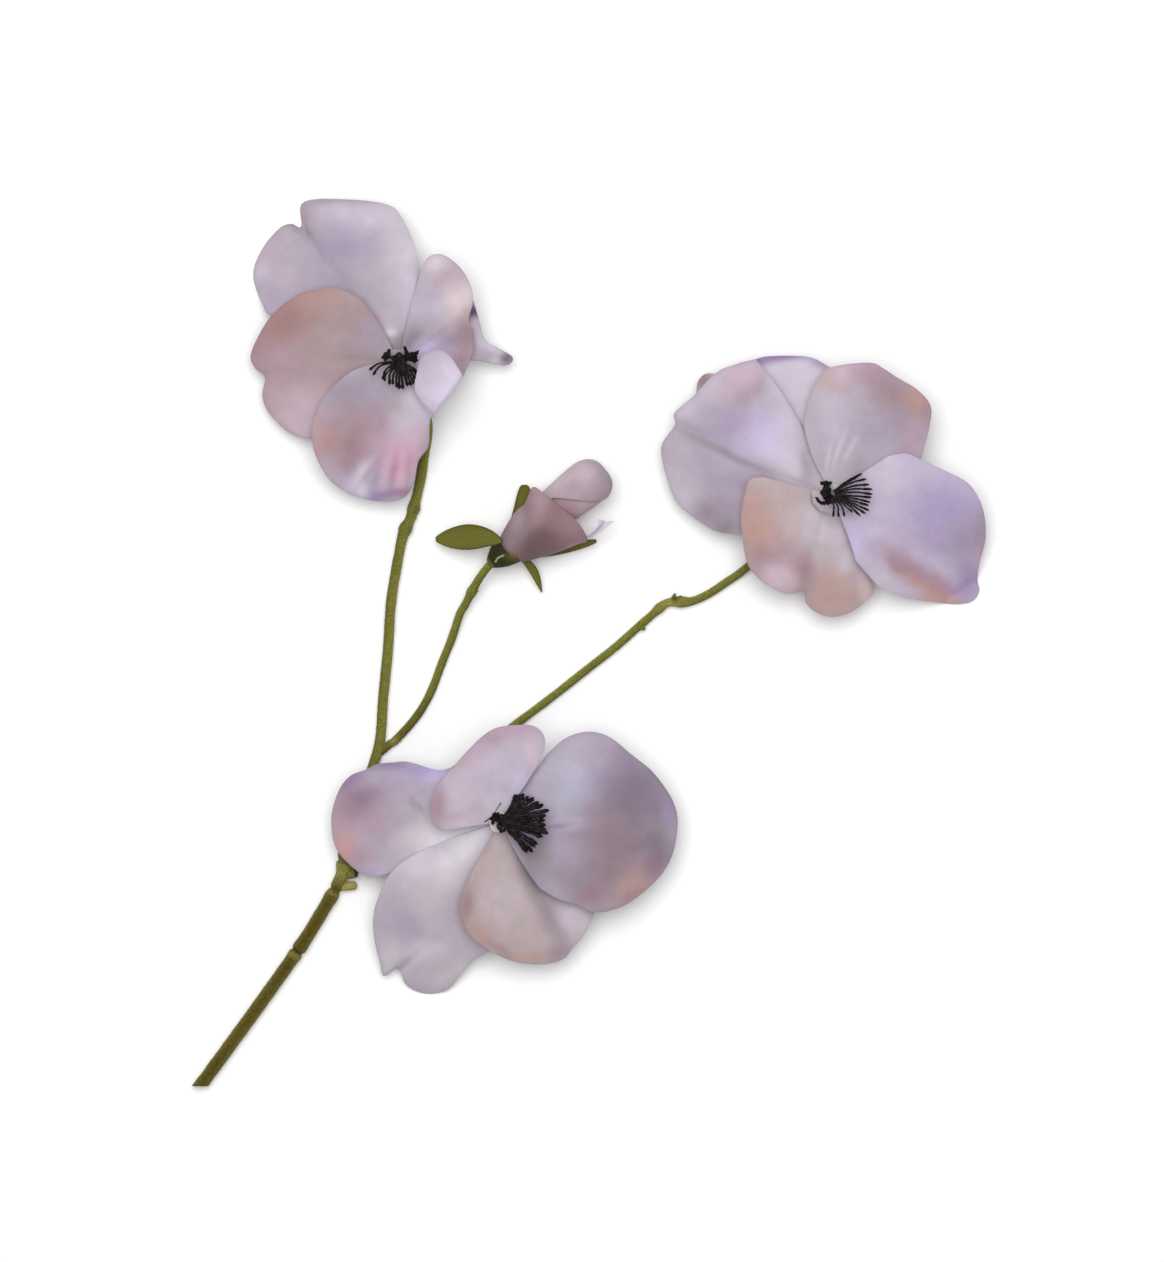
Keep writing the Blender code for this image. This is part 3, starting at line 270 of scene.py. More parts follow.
# The bud lies along its own axis, which starts at BUD_BASE inside the cup. Lengths are counted along it:
# the wrapped petal's rim is (degrees round, length), the seam's ends are (length, degrees round), the
# roll and the heart are (length, radius), and the strip's spine is (length, to the left, up).
BUD_BASE = (-22.6, 21.9, 7.0)
BUD_BEARING = 38.5
BUD_CUP_BACK = 3.4
BUD_CUP_FRONT = 1.4
BUD_CUP_RADIUS = 3.5
BUD_FLATTENING = 0.72
BUD_OUTER_SPREAD = 2.15
BUD_OUTER_LEAN = 0.2
BUD_OUTER_START = 1.9
BUD_OUTER_RIM = [(-40, 14), (0, 16.6), (25, 17.7), (56, 18.3), (88, 19.3), (115, 20.3), (143, 20.2),
                 (180, 19.1), (220, 16)]
BUD_ROLL_OFFSET = 0.35
BUD_ROLL_FLATTENING = 0.93
BUD_ROLL = [(2.6, 1.3), (8, 2.9), (14, 4.5), (19, 5.4), (25, 5.85), (28.8, 5.9), (31.2, 5.3), (32.9, 4),
            (33.7, 2.4), (33.9, 0.7)]
BUD_ROLL_START = -130.0
BUD_SEAM_LOW = (20.3, 71.0)
BUD_SEAM_HIGH = (28.8, 155.0)
BUD_HEART = [(2.3, 0), (2.6, 0.5), (8, 2.3), (14, 3.95), (19, 4.9), (25, 5.4), (28.8, 5.45), (31, 4.85),
             (32.5, 3.6), (33.2, 2.1), (33.45, 0)]
BUD_STRIP_SPINE = [(3, -2.4, 0), (8, -4.9, 0), (14, -7.4, 0), (19.6, -9.8, 0), (23, -10.2, 0.2),
                   (26.5, -9.9, 0.4)]
BUD_STRIP_HALF_WIDTHS = [0.8, 1.3, 1.5, 1.5, 1.3, 1.35]
BUD_STRIP_TILTS = [88, 88, 86, 78, 60, 35]

# Sepals of the bud: spine from the cup to the tip as (x, y, z), widest half width, tilt.
BUD_SEPALS = {
    "left": ([(-22.3, 25.5, 10.1), (-26, 26.4, 8.9), (-30, 26.6, 6.9), (-34.5, 26.3, 5),
        (-38.6, 26, 3.4)], 3.1, 0),
    "upper": ([(-20.3, 25.2, 3.7), (-18, 29.2, 2.6), (-16.9, 33, 2), (-16.5, 36.5, 2),
        (-16.5, 39.6, 2.6)], 1.8, 0),
    "right": ([(-20.2, 22.2, 3.4), (-15, 22.5, 2.5), (-9.5, 23.2, 2.3), (-4.3, 24.2, 2.5),
        (1.5, 25.6, 3.2)], 1.6, 10),
    "lower": ([(-19.2, 21.1, 5), (-16.6, 20.8, 4.7), (-14.7, 18.8, 3.7), (-13.4, 16.3, 2.8),
        (-12.2, 12.8, 2)], 1, 10),
}

# Fine creases of each petal, by layer: (place across, depth, width).
FOLDS = {
    "left": {1: [(0.62, 0.2, 0.1)], 3: [(0.25, 0.2, 0.1)],
        4: [(0.2, 0.12, 0.02), (0.27, -0.12, 0.02), (0.34, 0.15, 0.02), (0.41, -0.1, 0.02)]},
    "right": {1: [(0.2, 0.3, 0.1)],
        2: [(0.3, 0.12, 0.02), (0.38, 0.12, 0.02), (0.46, 0.1, 0.02), (0.75, 0.3, 0.12)]},
    "low": {0: [(0.3, 0.3, 0.1)], 3: [(0.35, 0.3, 0.12), (0.65, 0.3, 0.1)]},
}
# How far along a rim its bends are averaged away towards the claw.
RIM_CALM = 0.1
# The shade in each throat, as a mark of paint, how the petals' tone ripples in red, green and blue, and how
# strong the painted shade of their fine pleats is.
THROAT_SHADE = ("pale_grey", 0, 0, 4.5, 4.5, 0, 0.75)
WARM_RIPPLE = (0.028, -0.006, 0.012)
PLEAT_SHADE = 0.016

# Threads of each tuft in plan from the bloom's centre: (bend x, bend y, tip x, tip y, share of the
# usual radius).
THREADS = {
    "left": [(-4.9, -0.6, -7.3, -2.2, 0.9), (-4.6, -1.2, -6.4, -3.5, 0.9), (-3.2, -2.2, -4, -4.6, 1),
        (-3, -3, -3.6, -5, 0.8), (-2.2, -3.2, -2.3, -5.9, 1), (-1.4, -3.8, -1.5, -5.8, 1),
        (-0.6, -4, -0.5, -6.6, 1), (0.1, -4.2, 0.1, -7, 1.1), (0.8, -4.2, 1, -7, 1.1),
        (1.5, -3.8, 2.2, -6.2, 1.1), (2.1, -3.7, 3.1, -6.1, 1), (2.6, -3.4, 3.9, -5.7, 1.1),
        (2.9, -2.6, 4.2, -4.6, 1), (3.2, -2.1, 4.7, -3.5, 1.1), (3.4, -1.6, 4.5, -2.7, 0.9),
        (-2.7, 1.5, -2.3, 2.9, 1.2)],
    "right": [(4.3, 3.2, 7.9, 5, 0.85), (3.8, 2.4, 7, 4.4, 0.7), (5.2, 2.7, 9, 3.7, 0.85),
        (5.6, 1.9, 9.7, 2.3, 0.85), (5.8, 1.2, 10.5, 1.1, 0.85), (6.2, 0.4, 10.5, -0.1, 0.85),
        (5.6, -0.5, 10.3, -0.9, 0.85), (5.8, -1.1, 10, -2.1, 0.85), (5.6, -1.7, 9.6, -2.9, 0.85),
        (5.8, -2.4, 9.7, -4.2, 0.85), (5.4, -2.8, 8.8, -4.9, 0.85), (4.9, -3.1, 7.5, -5.5, 0.85),
        (3.6, -2.9, 5.6, -4.6, 0.7), (2.9, -3.2, 3.6, -5.6, 0.75), (1.9, -3.2, 2.1, -5.7, 0.8),
        (0.9, -3, 0.8, -5.7, 0.8), (-1, 1.8, -2.2, 2.9, 1.2), (-0.4, 2, 0.2, 2.9, 1.1)],
    "low": [(2.6, 3.6, 4, 6.8, 1.45), (3.2, 3.6, 5, 6.9, 1.2), (3.8, 3.6, 5.9, 7, 1.45),
        (4.3, 3.4, 7.1, 6.4, 1.3), (4.9, 3.2, 8.4, 6, 1.45), (5.2, 2.7, 9.7, 5, 1.3),
        (5.6, 2.3, 10.8, 4.3, 1.45), (5.9, 1.7, 12.2, 2.9, 1.4), (6, 1, 11.4, 1.6, 1.5),
        (6, 0.3, 11.2, 0.4, 1.4), (6, -0.4, 11.4, -0.8, 1.5), (6, -1, 11.4, -1.9, 1.3),
        (5.9, -1.5, 12, -2.8, 1.6), (5.6, -2, 10.6, -3.7, 1.4), (4.6, -2.6, 9.3, -5.6, 1.4),
        (4.2, -3, 8.8, -6.3, 1.1), (3.9, -3.5, 8.1, -7.5, 1.4), (3.4, -3.6, 6.8, -7.6, 1.4),
        (3, -3.3, 7.2, -6.9, 1.2), (-1.2, 0.7, -2, -0.6, 1), (-0.6, -1.2, 0.6, -2.7, 1.1),
        (0.4, -1.9, 1.2, -2.3, 1), (-1.6, 1.4, -3.9, -0.1, 0.45), (-1.2, 2.2, 0.3, 4.8, 0.35)],
}
# Lumps of each tuft in plan from the bloom's centre: (x, y, half length, half width, turn).
LUMPS = {
    "left": [(0.1, 0.4, 1.9, 1.6, 0), (-3.1, 1.2, 1.25, 0.95, 40), (2.8, 1, 1.7, 1.1, 10),
        (3.9, 0.3, 0.9, 0.8, 0), (0.7, -1.4, 1.9, 1.6, 90), (1.9, 2.3, 1.6, 0.5, 112),
        (3.6, 1.6, 1.7, 0.55, 28)],
    "right": [(-1, 0.3, 1.6, 1.35, 90), (-1.2, 2.7, 1.35, 0.55, 0), (0.2, -1.5, 1.5, 1.1, 30),
        (-2.85, -1.75, 1.25, 0.42, -50), (-1.4, -2.3, 0.9, 0.5, 10)],
    "low": [(0.6, 0.6, 1.6, 1.3, 20), (3.4, 1.4, 2.6, 1.9, 20), (-1.3, 1.2, 1.4, 0.9, 50),
        (3.4, -0.6, 2.4, 1.5, -10)],
}

# Branch: route, radius, swellings, a direction it never runs along, points before its route that
# carry it into its parent, and how far it stops short of the route's end.
BRANCHES = {
    "left": (LEFT_ROUTE, 1.2, LEFT_NODES, (1, 0, 0), [(-62.4, -57.6, 1.8)], CUP_LENGTH + SEAT_GAP),
    "right": (RIGHT_ROUTE, 0.95, RIGHT_NODES, (1, -1, 0), [(-62.0, -56.2, 1.7)], CUP_LENGTH + SEAT_GAP),
    "low": (LOW_ROUTE, 1.1, [], (0, 1, 0), [(-57.4, -51.6, 1.4)], CUP_LENGTH + SEAT_GAP),
    "bud": (BUD_ROUTE, BUD_RADIUS, BUD_NODES, (1, -1, 0), [(-54.2, -28.6, 1.2)], 5.95),
}
# The main stem's swellings: joint rim, step in above it, sleeve end, knuckle.
MAIN_SWELLS = [(50.2, 0.07, 1), (51.3, -0.3, 0.35), (52.9, 0.12, 1.3), (67.5, 0.06, 1.2),
               (69.4, -0.25, 0.6), (73.5, -0.05, 1.5), (76.8, 0.3, 2.2)]
# Marks of colour along the main stem: (colour, place, half length, strength).
MAIN_MARKS = [("pale_olive", 50, 0.8, 0.4), ("scar", 51.4, 0.45, 0.85), ("pale_olive", 68.3, 0.6, 0.35),
              ("scar", 69.7, 0.5, 0.5), ("pale_olive", 74.5, 3, 0.7)]
# Short torn nubs on the branches: (place along, side, length, radius).
NUBS = {
    "right_branch": [(102.3, 1, 1.9, 0.6), (103.6, 1, 1.4, 0.6), (91.5, -1, 1.5, 0.75)],
    "bud_branch": [(44.4, -1, 1.4, 0.35)],
    "left_branch": [(87.5, -1, 1.3, 0.4)],
}
# Marks of colour along the branches: (colour, place, half length, strength).
BRANCH_MARKS = {
    "right_branch": [("pale_olive", 102, 3.5, 0.7), ("scar", 103.2, 1.1, 0.9)],
    "left_branch": [("scar", 85, 1, 0.4), ("scar", 90.5, 1, 0.45)],
    "bud_branch": [("brown_olive", 4, 12, 0.6), ("pale_olive", 1.5, 1.5, 0.5)],
    "low_branch": [],
}
# Flank that the light falls on: 1 where it is the right-hand one seen from above, -1 the other.
LIT_FLANKS = {"left_branch": 1, "right_branch": -1, "bud_branch": -1, "low_branch": 1}
# Outlines of the bud's sepals: where on a half wave they start and end, its power, and how much
# fuller they are than their solids.
BUD_SEPAL_SHAPES = {"left": (0.03, 0.97, 0.75, 1.0), "upper": (0.12, 0.995, 0.36, 1.32),
                    "right": (0.15, 0.99, 0.42, 0.8), "lower": (0.02, 0.985, 1.0, 0.98)}
# How light each throat is painted: the left one is darkest as painted shade of its deep hollow under the
# tuft, and the low one palest for its whitish glue.
THROAT_TONES = {"left": 0.66, "right": 0.95, "low": 1.1}
# A run of dried glue on the bud's cup, in plan.
GLUE_LINE = ((-23.0, 20.1), (-22.5, 20.9), (-21.8, 21.3), (-21.0, 21.7))
GLUE_WIDTH = 0.22
GLUE_POINTS = 40
# How far the wrapped petal draws in near its left corner, how far along, and over which length.
BUD_WAIST = 0.85
BUD_WAIST_PLACE = 13.0
BUD_WAIST_LENGTH = 2.2
# How far the wrapped petal's rim turns out, the angles that its roll's seam stays between, the fabric's
# thickness in its middle and at its rim, and the middle of the worn spot on the cup, in plan.
BUD_LIP = 0.25
BUD_SEAM_LIMITS = (60, 168)
BUD_THICKNESS = 0.4
BUD_RIM_THICKNESS = 0.25
BUD_SEPAL_THICKNESS = 0.45
WORN_SPOT = (-18.0, 21.6)
# Points along each piece of the bud, and across or round it.
BUD_SHEET_COLUMNS = 110
BUD_RIM_POINTS = 400
BUD_OUTER_ROWS = 60
BUD_ROLL_ROWS = 90
BUD_HEART_ROWS = 70
BUD_HEART_SIDES = 60
BUD_STRIP_ROWS = 90
BUD_STRIP_COLUMNS = 20
BUD_SEPAL_ROWS = 60
BUD_SEPAL_COLUMNS = 26
BUD_CUP_ROWS = 70
BUD_CUP_SIDES = 90
# Marks of the bud's petals, as (colour, along, to the left, then as above).
# The outer petal's darkest marks, on its right side, are painted shade.
BUD_OUTER_PAINT = [("bud_grey", 6.5, 2, 5.5, 3.4, 0, 0.95), ("mauve_grey", 9.5, 4.8, 3.2, 1.4, 40, 0.6),
                   ("bud_dusk", 7.5, -3.2, 5, 2.8, 0, 0.95), ("bud_dusk", 11.8, -3.4, 2.8, 2.2, 0, 0.65),
                   ("bud_dusk", 10, -5.8, 3.5, 1.6, -20, 0.6), ("dusky_rose", 15.5, 3.6, 3.5, 2, 30, 0.85),
                   ("rose_mauve", 17, 5.8, 2.8, 2, 30, 0.8), ("peach", 17.6, 7.3, 1.2, 1, 0, 0.5),
                   ("dusky_rose", 20, -6, 3, 3.5, 0, 0.55), ("mauve", 15.5, -9.3, 3, 1, 0, 0.35)]
BUD_INNER_PAINT = [("bud_pale", 24, 5.4, 8, 2.3, 0, 0.95), ("bud_pale", 29.5, 2.4, 2.6, 2.4, 0, 0.65),
                   ("mauve", 23, 3.9, 3.2, 0.25, 21, 0.4), ("pink_lilac", 21, 6.3, 4, 1, 20, 0.5),
                   ("mauve", 30.5, -2.5, 2.5, 2.6, 0, 0.5), ("mauve", 32.8, 1, 1.2, 5, 0, 0.5)]
# The heart shows in the gap under the seam: its dusky base and its darkest mark are its own tone and painted
# shade of that gap.
BUD_HEART_PAINT = [("rose_mauve", 23, -3, 7, 3, 0, 0.6), ("bud_dusk", 17, -3, 3, 3, 0, 0.5),
                   ("bud_pale", 24, -4.6, 4, 2, 0, 0.5)]
# The back strip's forked end: how far from the end it opens, how far its left corner moves back and
# out, and how deep the notch is.
TAIL_LENGTH = 2.8
TAIL_FLARE = (1.4, 0.7, 0.4)
# The thin mauve line along the strip is painted shade of its fold.
BUD_STRIP_PAINT = [("grey_lilac", 14, 0, 5, 2, 0, 0.5), ("mauve", 22.5, 0.45, 4, 0.3, 0, 0.7),
                   ("mauve", 26.5, 0.2, 1.4, 2.5, 0, 0.55)]

# Paint of each petal: its base colour, then soft oval marks laid over it in turn, in plan from the
# bloom's centre: (colour, x, y, half length, half width, turn, strength).
# Marks in shade_grey are painted shade in creases, folds, the hollow round each tuft and under overlapping
# petals; the marks noted below are painted shade or painted light too.
PAINT = {
    # The plum mark on the back petal is painted shade where it lies under the petal in front.
    ("left", "back"): ("grey_lilac", [("plum", 18.8, 12.3, 1.5, 4, 100, 0.9),
        ("pale_lilac", 20.8, 5.8, 2.5, 2, 0, 0.7), ("dark_mauve", 27.3, 0.8, 2, 1.5, 0, 0.9),
        ("white_lilac", 23.5, 3.2, 3, 1, -30, 0.5), ("white_lilac", 24, 0.2, 1.5, 1, 0, 0.6)]),
    ("left", "top"): ("grey_lilac", [("pale_lilac", -8.5, 36, 11.2, 3.5, -3, 0.85),
        ("violet", -14.2, 28.5, 6, 5, 0, 0.6), ("shade_grey", -17, 39.8, 9, 1, 4, 0.35),
        ("pale_lilac", 2.5, 17, 2.5, 6, 8, 0.7), ("pale_lilac", -12.5, 10.5, 5, 3.5, 40, 0.6),
        ("violet_blue", -33, 16, 3, 4.5, 0, 0.45), ("grey_violet", -17.2, 17.8, 7.5, 6.2, 0, 0.5),
        ("pale_lilac", -0.2, 26.5, 3.5, 10, 0, 0.6), ("rose", -33, 26.5, 3.5, 4, -20, 0.3),
        ("pale_lilac", -33, 22, 3, 3, 0, 0.6), ("pink", -29, 21, 4, 3.5, 0, 0.25),
        ("grey_lilac", -33.2, 17.3, 3.5, 3.5, 0, 0.8), ("shade_grey", -25.2, 33.3, 3.5, 1.5, -30, 0.6),
        ("rose_mauve", -24.7, 36.5, 3.5, 1.8, 0, 0.5), ("pale_grey", -1.7, 9, 3, 3.5, 0, 0.6),
        ("shade_grey", 1, 3.8, 4, 2.6, 10, 0.95), ("white_lilac", -2.2, 7.2, 1.3, 1, 0, 0.9),
        ("shade_grey", 2.4, 6.2, 2.2, 1.8, 0, 0.4), ("white_lilac", 3, 27, 2, 4, 0, 0.5)]),
    ("left", "right"): ("grey_lilac", [("cream_pink", 9.3, 24.3, 3.5, 2.5, 0, 0.7),
        ("cream_pink", 14.5, 13.5, 4, 4.5, -30, 0.95), ("pink", 13.5, 19.5, 3.5, 3, 0, 0.6),
        ("rose_mauve", 11, 21.5, 2, 3, -30, 0.35), ("light_violet", 6.5, 13.5, 3, 3.5, 50, 0.25),
        ("brown_rose", 17.5, 6, 2.5, 4.5, 0, 0.6), ("grey_lilac", 7.8, 9.8, 5.5, 1.8, 35, 0.7),
        ("shade_grey", 13.3, 6.5, 4.5, 3, 0, 0.4), ("rose_mauve", 16.5, 2.3, 2, 4, 0, 0.6),
        ("shade_grey", 3, 4.8, 4, 3, 20, 0.95), ("rose_mauve", 14, 2, 4, 5, 0, 0.7),
        # The long mauve mark on the next line is painted shade just under the crease.
        ("mauve", 11, 4.4, 6.5, 1.4, 27, 0.85), ("dusky_rose", 17.2, 4, 1.8, 5, 0, 0.3),
        ("light_violet", 8, 2, 5, 3.5, 0, 0.7), ("warm_grey", 17.8, 12.5, 2.2, 3, 0, 0.6),
        ("cream_pink", 17.5, 15.8, 2.3, 2.3, 0, 0.6), ("grey_lilac", 18.5, 2.5, 2, 3, 0, 0.5),
        ("shade_grey", 3.2, 6.2, 2.2, 1.8, 0, 0.5), ("white_lilac", 9, 0, 3.5, 1.6, 0, 0.6)]),
    ("left", "left"): ("dusty_rose", [("brown_rose", -27.5, 11, 9, 5.5, 35, 0.6),
        ("peach", -19, 15, 7, 3.2, 0, 0.45), ("mauve_grey", -12, 9, 6, 5, -30, 0.3),
        ("pink", -23, -10, 8, 4.5, 0, 0.6), ("rose", -29, 0, 4, 3, 0, 0.5),
        ("pink", -27, -15, 5, 3, -30, 0.6), ("pink_lilac", -22, -16, 4, 4, 0, 0.6),
        ("rose_mauve", -34.5, 4.5, 3, 4, 0, 0.6), ("mauve_grey", -9, 2.5, 6, 4, 0, 0.7),
        ("grey_violet", -5.5, 6, 3.8, 3.8, 0, 0.7)]),
    ("left", "bottom"): ("grey_lilac", [("mauve", -12, -9, 8, 5, -20, 0.6),
        ("grey_violet", -7, -7.5, 6, 4, 0, 0.5), ("rose_mauve", -8, -15.5, 8, 4.5, 0, 0.6),
        ("coral", -19.5, -19.5, 3.5, 5, 0, 0.55), ("brown_rose", -13.5, -20.5, 7, 5.5, 0, 0.5),
        ("dusky_rose", -11, -22.3, 3.5, 3.2, 0, 0.55), ("pale_lilac", 3, -9, 3, 6, 10, 0.6),
        ("rose", -3, -23, 6, 3.5, 0, 0.6), ("candy", 1, -24, 5, 6, 10, 0.7),
        ("candy", 3.8, -21, 2, 5, 0, 0.5), ("lilac", -11, -31, 4, 2, -25, 0.6),
        ("white_lilac", -9.5, -28.3, 1.5, 4, -42, 0.75), ("rose_mauve", -7.4, -27.5, 0.8, 4, -35, 0.55),
        ("violet", -5.4, -28.5, 1.1, 4.5, -20, 0.55), ("candy", -3.2, -26.5, 1, 4.5, -12, 0.5),
        ("deep_rose", -1.2, -27.5, 0.9, 5, -10, 0.5), ("candy", 0.6, -26.5, 1.1, 5, -5, 0.5),
        ("rose_mauve", 2.4, -28, 0.7, 4.5, -3, 0.45), ("deep_violet", -5, -33.6, 6, 1.3, 5, 0.7),
        ("deep_rose", 1.2, -32.8, 3, 1, 8, 0.6), ("violet", 5.8, -26, 0.8, 4, -10, 0.6),
        ("pale_lilac", -0.2, -14.2, 2.5, 5.5, 10, 0.6), ("flap_violet", 15, -9, 9, 8, 50, 0.97),
        ("white_lilac", -9.3, -33, 1.8, 2.3, 0, 0.7), ("deep_rose", -12, -27, 2, 2.5, 0, 0.35),
        ("mauve_grey", -1.3, -10.8, 2.8, 2.6, 0, 0.55)]),
    ("right", "back"): ("pale_lilac", [("deep_violet", -18, 33.2, 5, 1.2, 8, 0.85),
        ("deep_violet", -11.3, 34.2, 6, 1, 0, 0.8), ("violet", -2, 32.5, 3, 1.2, -30, 0.8),
        ("dusky_rose", -31.8, 28.5, 2.5, 3, 0, 0.85), ("pale_lilac", -10, 28, 6.2, 3, 0, 0.6)]),
    ("right", "left"): ("grey_lilac", [("pale_lilac", -29.5, 26.5, 6, 3.5, 30, 0.8),
        ("rose", -24, 28, 6, 4, 30, 0.4), ("rose_mauve", -19.8, 25, 5, 3.5, 50, 0.5),
        ("pale_lilac", -13, 26.5, 2.5, 4, 30, 0.6), ("rose", -23.5, 17.5, 5, 4, 0, 0.45),
        ("grey_violet", -28, 16.5, 8, 4.5, -20, 0.75), ("light_violet", -16, 14, 6.5, 6, 0, 0.75),
        ("white_lilac", -10.5, 8, 6, 4.5, -20, 0.6), ("mauve", -26, -3.5, 6, 3.5, -20, 0.6),
        ("pale_lilac", -10.5, 15.5, 3.8, 7.5, 0, 0.6), ("grey_violet", -27, 4, 9, 5, -20, 0.8),
        ("shade_grey", -26.5, 10.5, 11.5, 1, -27, 0.6), ("grey_lilac", -38, 11.5, 2, 3.5, 0, 0.75),
        ("pale_grey", -40, 3, 5, 5, 0, 0.7), ("mauve", -32, -4.5, 4.5, 2.5, -35, 0.85),
        ("shade_grey", -26, -8, 3, 2, 0, 0.8), ("pale_lilac", -36, -1.5, 3, 4, 0, 0.7),
        ("mauve", -18, 3, 4, 3, 0, 0.5), ("pink", -22.5, 30, 4, 2.5, 20, 0.6),
        ("violet", -24, 18, 3.5, 3, 0, 0.5), ("pale_lilac", -36, 21, 3, 3, 0, 0.6),
        ("shade_grey", -5.9, 7.2, 1.5, 4, 8, 0.5)]),
    ("right", "top"): ("grey_lilac", [("peach", 0.5, 28.5, 3.5, 3.5, 0, 0.7),
        ("rose", 9.5, 30, 4.5, 3, 0, 0.8), ("dusky_rose", 15.5, 25, 8, 5, -35, 0.62),
        ("pale_lilac", -0.5, 23, 3, 5, 0, 0.4), ("mauve", 17.5, 17, 5.5, 5, -40, 0.6),
        ("orange_peach", 22, 23.5, 3.5, 4, -45, 0.6), ("rose_mauve", 24.2, 20.5, 2, 4, 0, 0.8),
        ("grey_violet", 9.5, 16, 6.5, 5, 0, 0.7), ("lilac", 2, 16.5, 3, 5.5, 0, 0.6),
        ("rose", 21.2, 13, 3, 4.5, 0, 0.6), ("mauve", 7, 5.5, 2.5, 2.5, 0, 0.6),
        # The three thin pale_lilac streaks are painted highlights along the fine ridges of this petal.
        ("pale_lilac", -0.3, 9.7, 0.6, 3.5, -12, 0.7), ("pale_lilac", 2.2, 11, 0.6, 4, -20, 0.7),
        ("pale_lilac", 5, 11, 0.6, 3.5, -28, 0.6), ("pink", 3, 30, 3, 2.5, 0, 0.6),
        ("grey_lilac", 6, 6, 3, 2.5, 0, 0.5)]),
    ("right", "bottom"): ("warm_grey", [("coral", -20, -4.5, 2.5, 5, 0, 0.7),
        ("peach", -18.5, -9, 3.5, 8, 0, 0.85), ("peach", -13.5, -9, 4, 5, 0, 0.6),
        ("rose_mauve", -12.5, -15.5, 4, 4, 0, 0.6), ("rose_mauve", -17.5, -16.5, 2.5, 3.5, 0, 0.7),
        ("pink", -13.2, -21, 4.5, 3.6, 0, 0.95), ("rose_mauve", -6.5, -18.5, 2.5, 5, 15, 0.9),
        ("rose_mauve", -1.5, -22.5, 3, 3, 0, 0.35), ("pale_lilac", -2.5, -8, 6, 5, 0, 0.65),
        ("white_lilac", 4.5, -16.5, 3, 4, 0, 0.5), ("peach", 1, -27, 6.5, 4, 10, 0.75),
        ("pale_peach", 9, -24.5, 2, 3.5, 0, 0.7), ("warm_grey", -9.5, 0.5, 3.5, 2.5, 0, 0.6),
        # The thin shade_grey lines here and the thin dark_mauve lines below are painted shade of the folds of
        # the crumpled collar round the tuft.
        ("shade_grey", -4.6, -0.9, 0.3, 1.4, 10, 0.6), ("shade_grey", -3.6, -3.2, 0.3, 1.5, 40, 0.65),
        ("shade_grey", -1.6, -4.6, 0.3, 1.4, 70, 0.5), ("peach", 0.5, -21, 4, 2.5, 0, 0.6),
        ("pale_lilac", 9, -21, 2, 2.5, 0, 0.5), ("pale_lilac", 2.5, -10, 3, 4, 0, 0.5),
        ("shade_grey", 0, -6, 2.5, 1.5, 0, 0.35), ("dark_mauve", -4.7, -1.2, 0.25, 1.5, 8, 0.5),
        ("dark_mauve", -3.4, -3.7, 0.25, 1.6, 40, 0.55), ("dark_mauve", -1.2, -4.9, 0.25, 1.5, 72, 0.4)]),
    ("right", "right"): ("lilac", [("pale_lilac", 14.5, 3.5, 6.5, 4, 0, 0.8),
        ("violet_blue", 29, -3.3, 9, 6, -10, 0.72), ("violet", 28, -11, 9, 4, -25, 0.5),
        ("mauve", 34, -11, 4, 5, 0, 0.5), ("pale_lilac", 10, -6, 3.5, 4.5, 30, 0.8),
        ("mauve", 37.5, -9.5, 2, 5, 0, 0.7), ("lilac", 14.5, -7, 5, 4, 0, 0.6),
        ("rose_mauve", 17.5, -16.5, 7, 3, -30, 0.6), ("dusky_rose", 20.5, -19.5, 8, 2, -27, 0.55),
        ("orange_peach", 25.3, -23.8, 7.5, 1.9, -25, 0.6), ("peach", 29.5, -26.8, 3.5, 1.5, -15, 0.85),
        ("deep_violet", 34.5, -22, 3, 5, -20, 0.6), ("grey_violet", 33, -17, 2.5, 2.5, 0, 0.6),
        ("coral", 38, -15.5, 1.2, 2, 0, 0.6), ("pale_grey", 12.5, -22.8, 3.5, 3.5, 0, 0.7),
        ("orange_peach", 24, -26.5, 3, 1.4, -20, 0.55), ("violet", 36, -24, 2.5, 2.2, 0, 0.6),
        ("deep_rose", 28, -22.8, 4, 2.2, -15, 0.35), ("light_violet", 6, -10.5, 3, 4, 0, 0.6)]),
    ("low", "left"): ("grey_lilac", [("deep_violet", -37.5, 11, 5, 2.5, 50, 0.85),
        ("violet_blue", -17, 12.7, 6, 1.6, 5, 0.95), ("deep_violet", -28, 14.2, 6, 1.5, 0, 0.75),
        ("mauve", -32, 6, 6, 4, 0, 0.95), ("mauve", -29, -0.5, 6, 5, 0, 0.5),
        ("violet", -24, 9.5, 6, 3, 0, 0.4), ("rose_mauve", -38.5, 1, 4, 7, 0, 0.7),
        ("rose", -32, 0.5, 6, 5, 0, 0.45), ("coral", -39.3, -6.3, 2.2, 4, 0, 0.6),
        ("rose_mauve", -35.5, -10, 5, 3, 0, 0.6), ("violet", -31, -12.8, 4, 1.5, -10, 0.7),
        ("grey_lilac", -23, 4.2, 6, 4, 0, 0.6), ("pale_grey", -18, -3.5, 7, 3.5, 0, 0.95),
        # The near_white mark is painted light that offsets the shade cast by the petals above.
        ("near_white", -10.5, -3.5, 9, 4.2, 17, 0.97), ("mauve", -21.8, 4.7, 0.8, 1.5, 20, 0.6),
        ("mauve", -20, 3.5, 0.6, 1.3, 30, 0.5), ("dark_mauve", -34.5, 5.3, 4, 3.3, 0, 0.45),
        ("lilac", -30, -12, 3.5, 1.5, -10, 0.6), ("light_violet", -15.5, 12, 3, 2.2, 0, 0.5),
        ("coral", -38.8, -6.8, 2.2, 3.5, 0, 0.5)]),
    ("low", "lower_left"): ("grey_lilac", [("pale_grey", -14, -15, 11, 6, 45, 0.9),
        # The near_white mark is painted light that offsets the shade cast by the petals above.
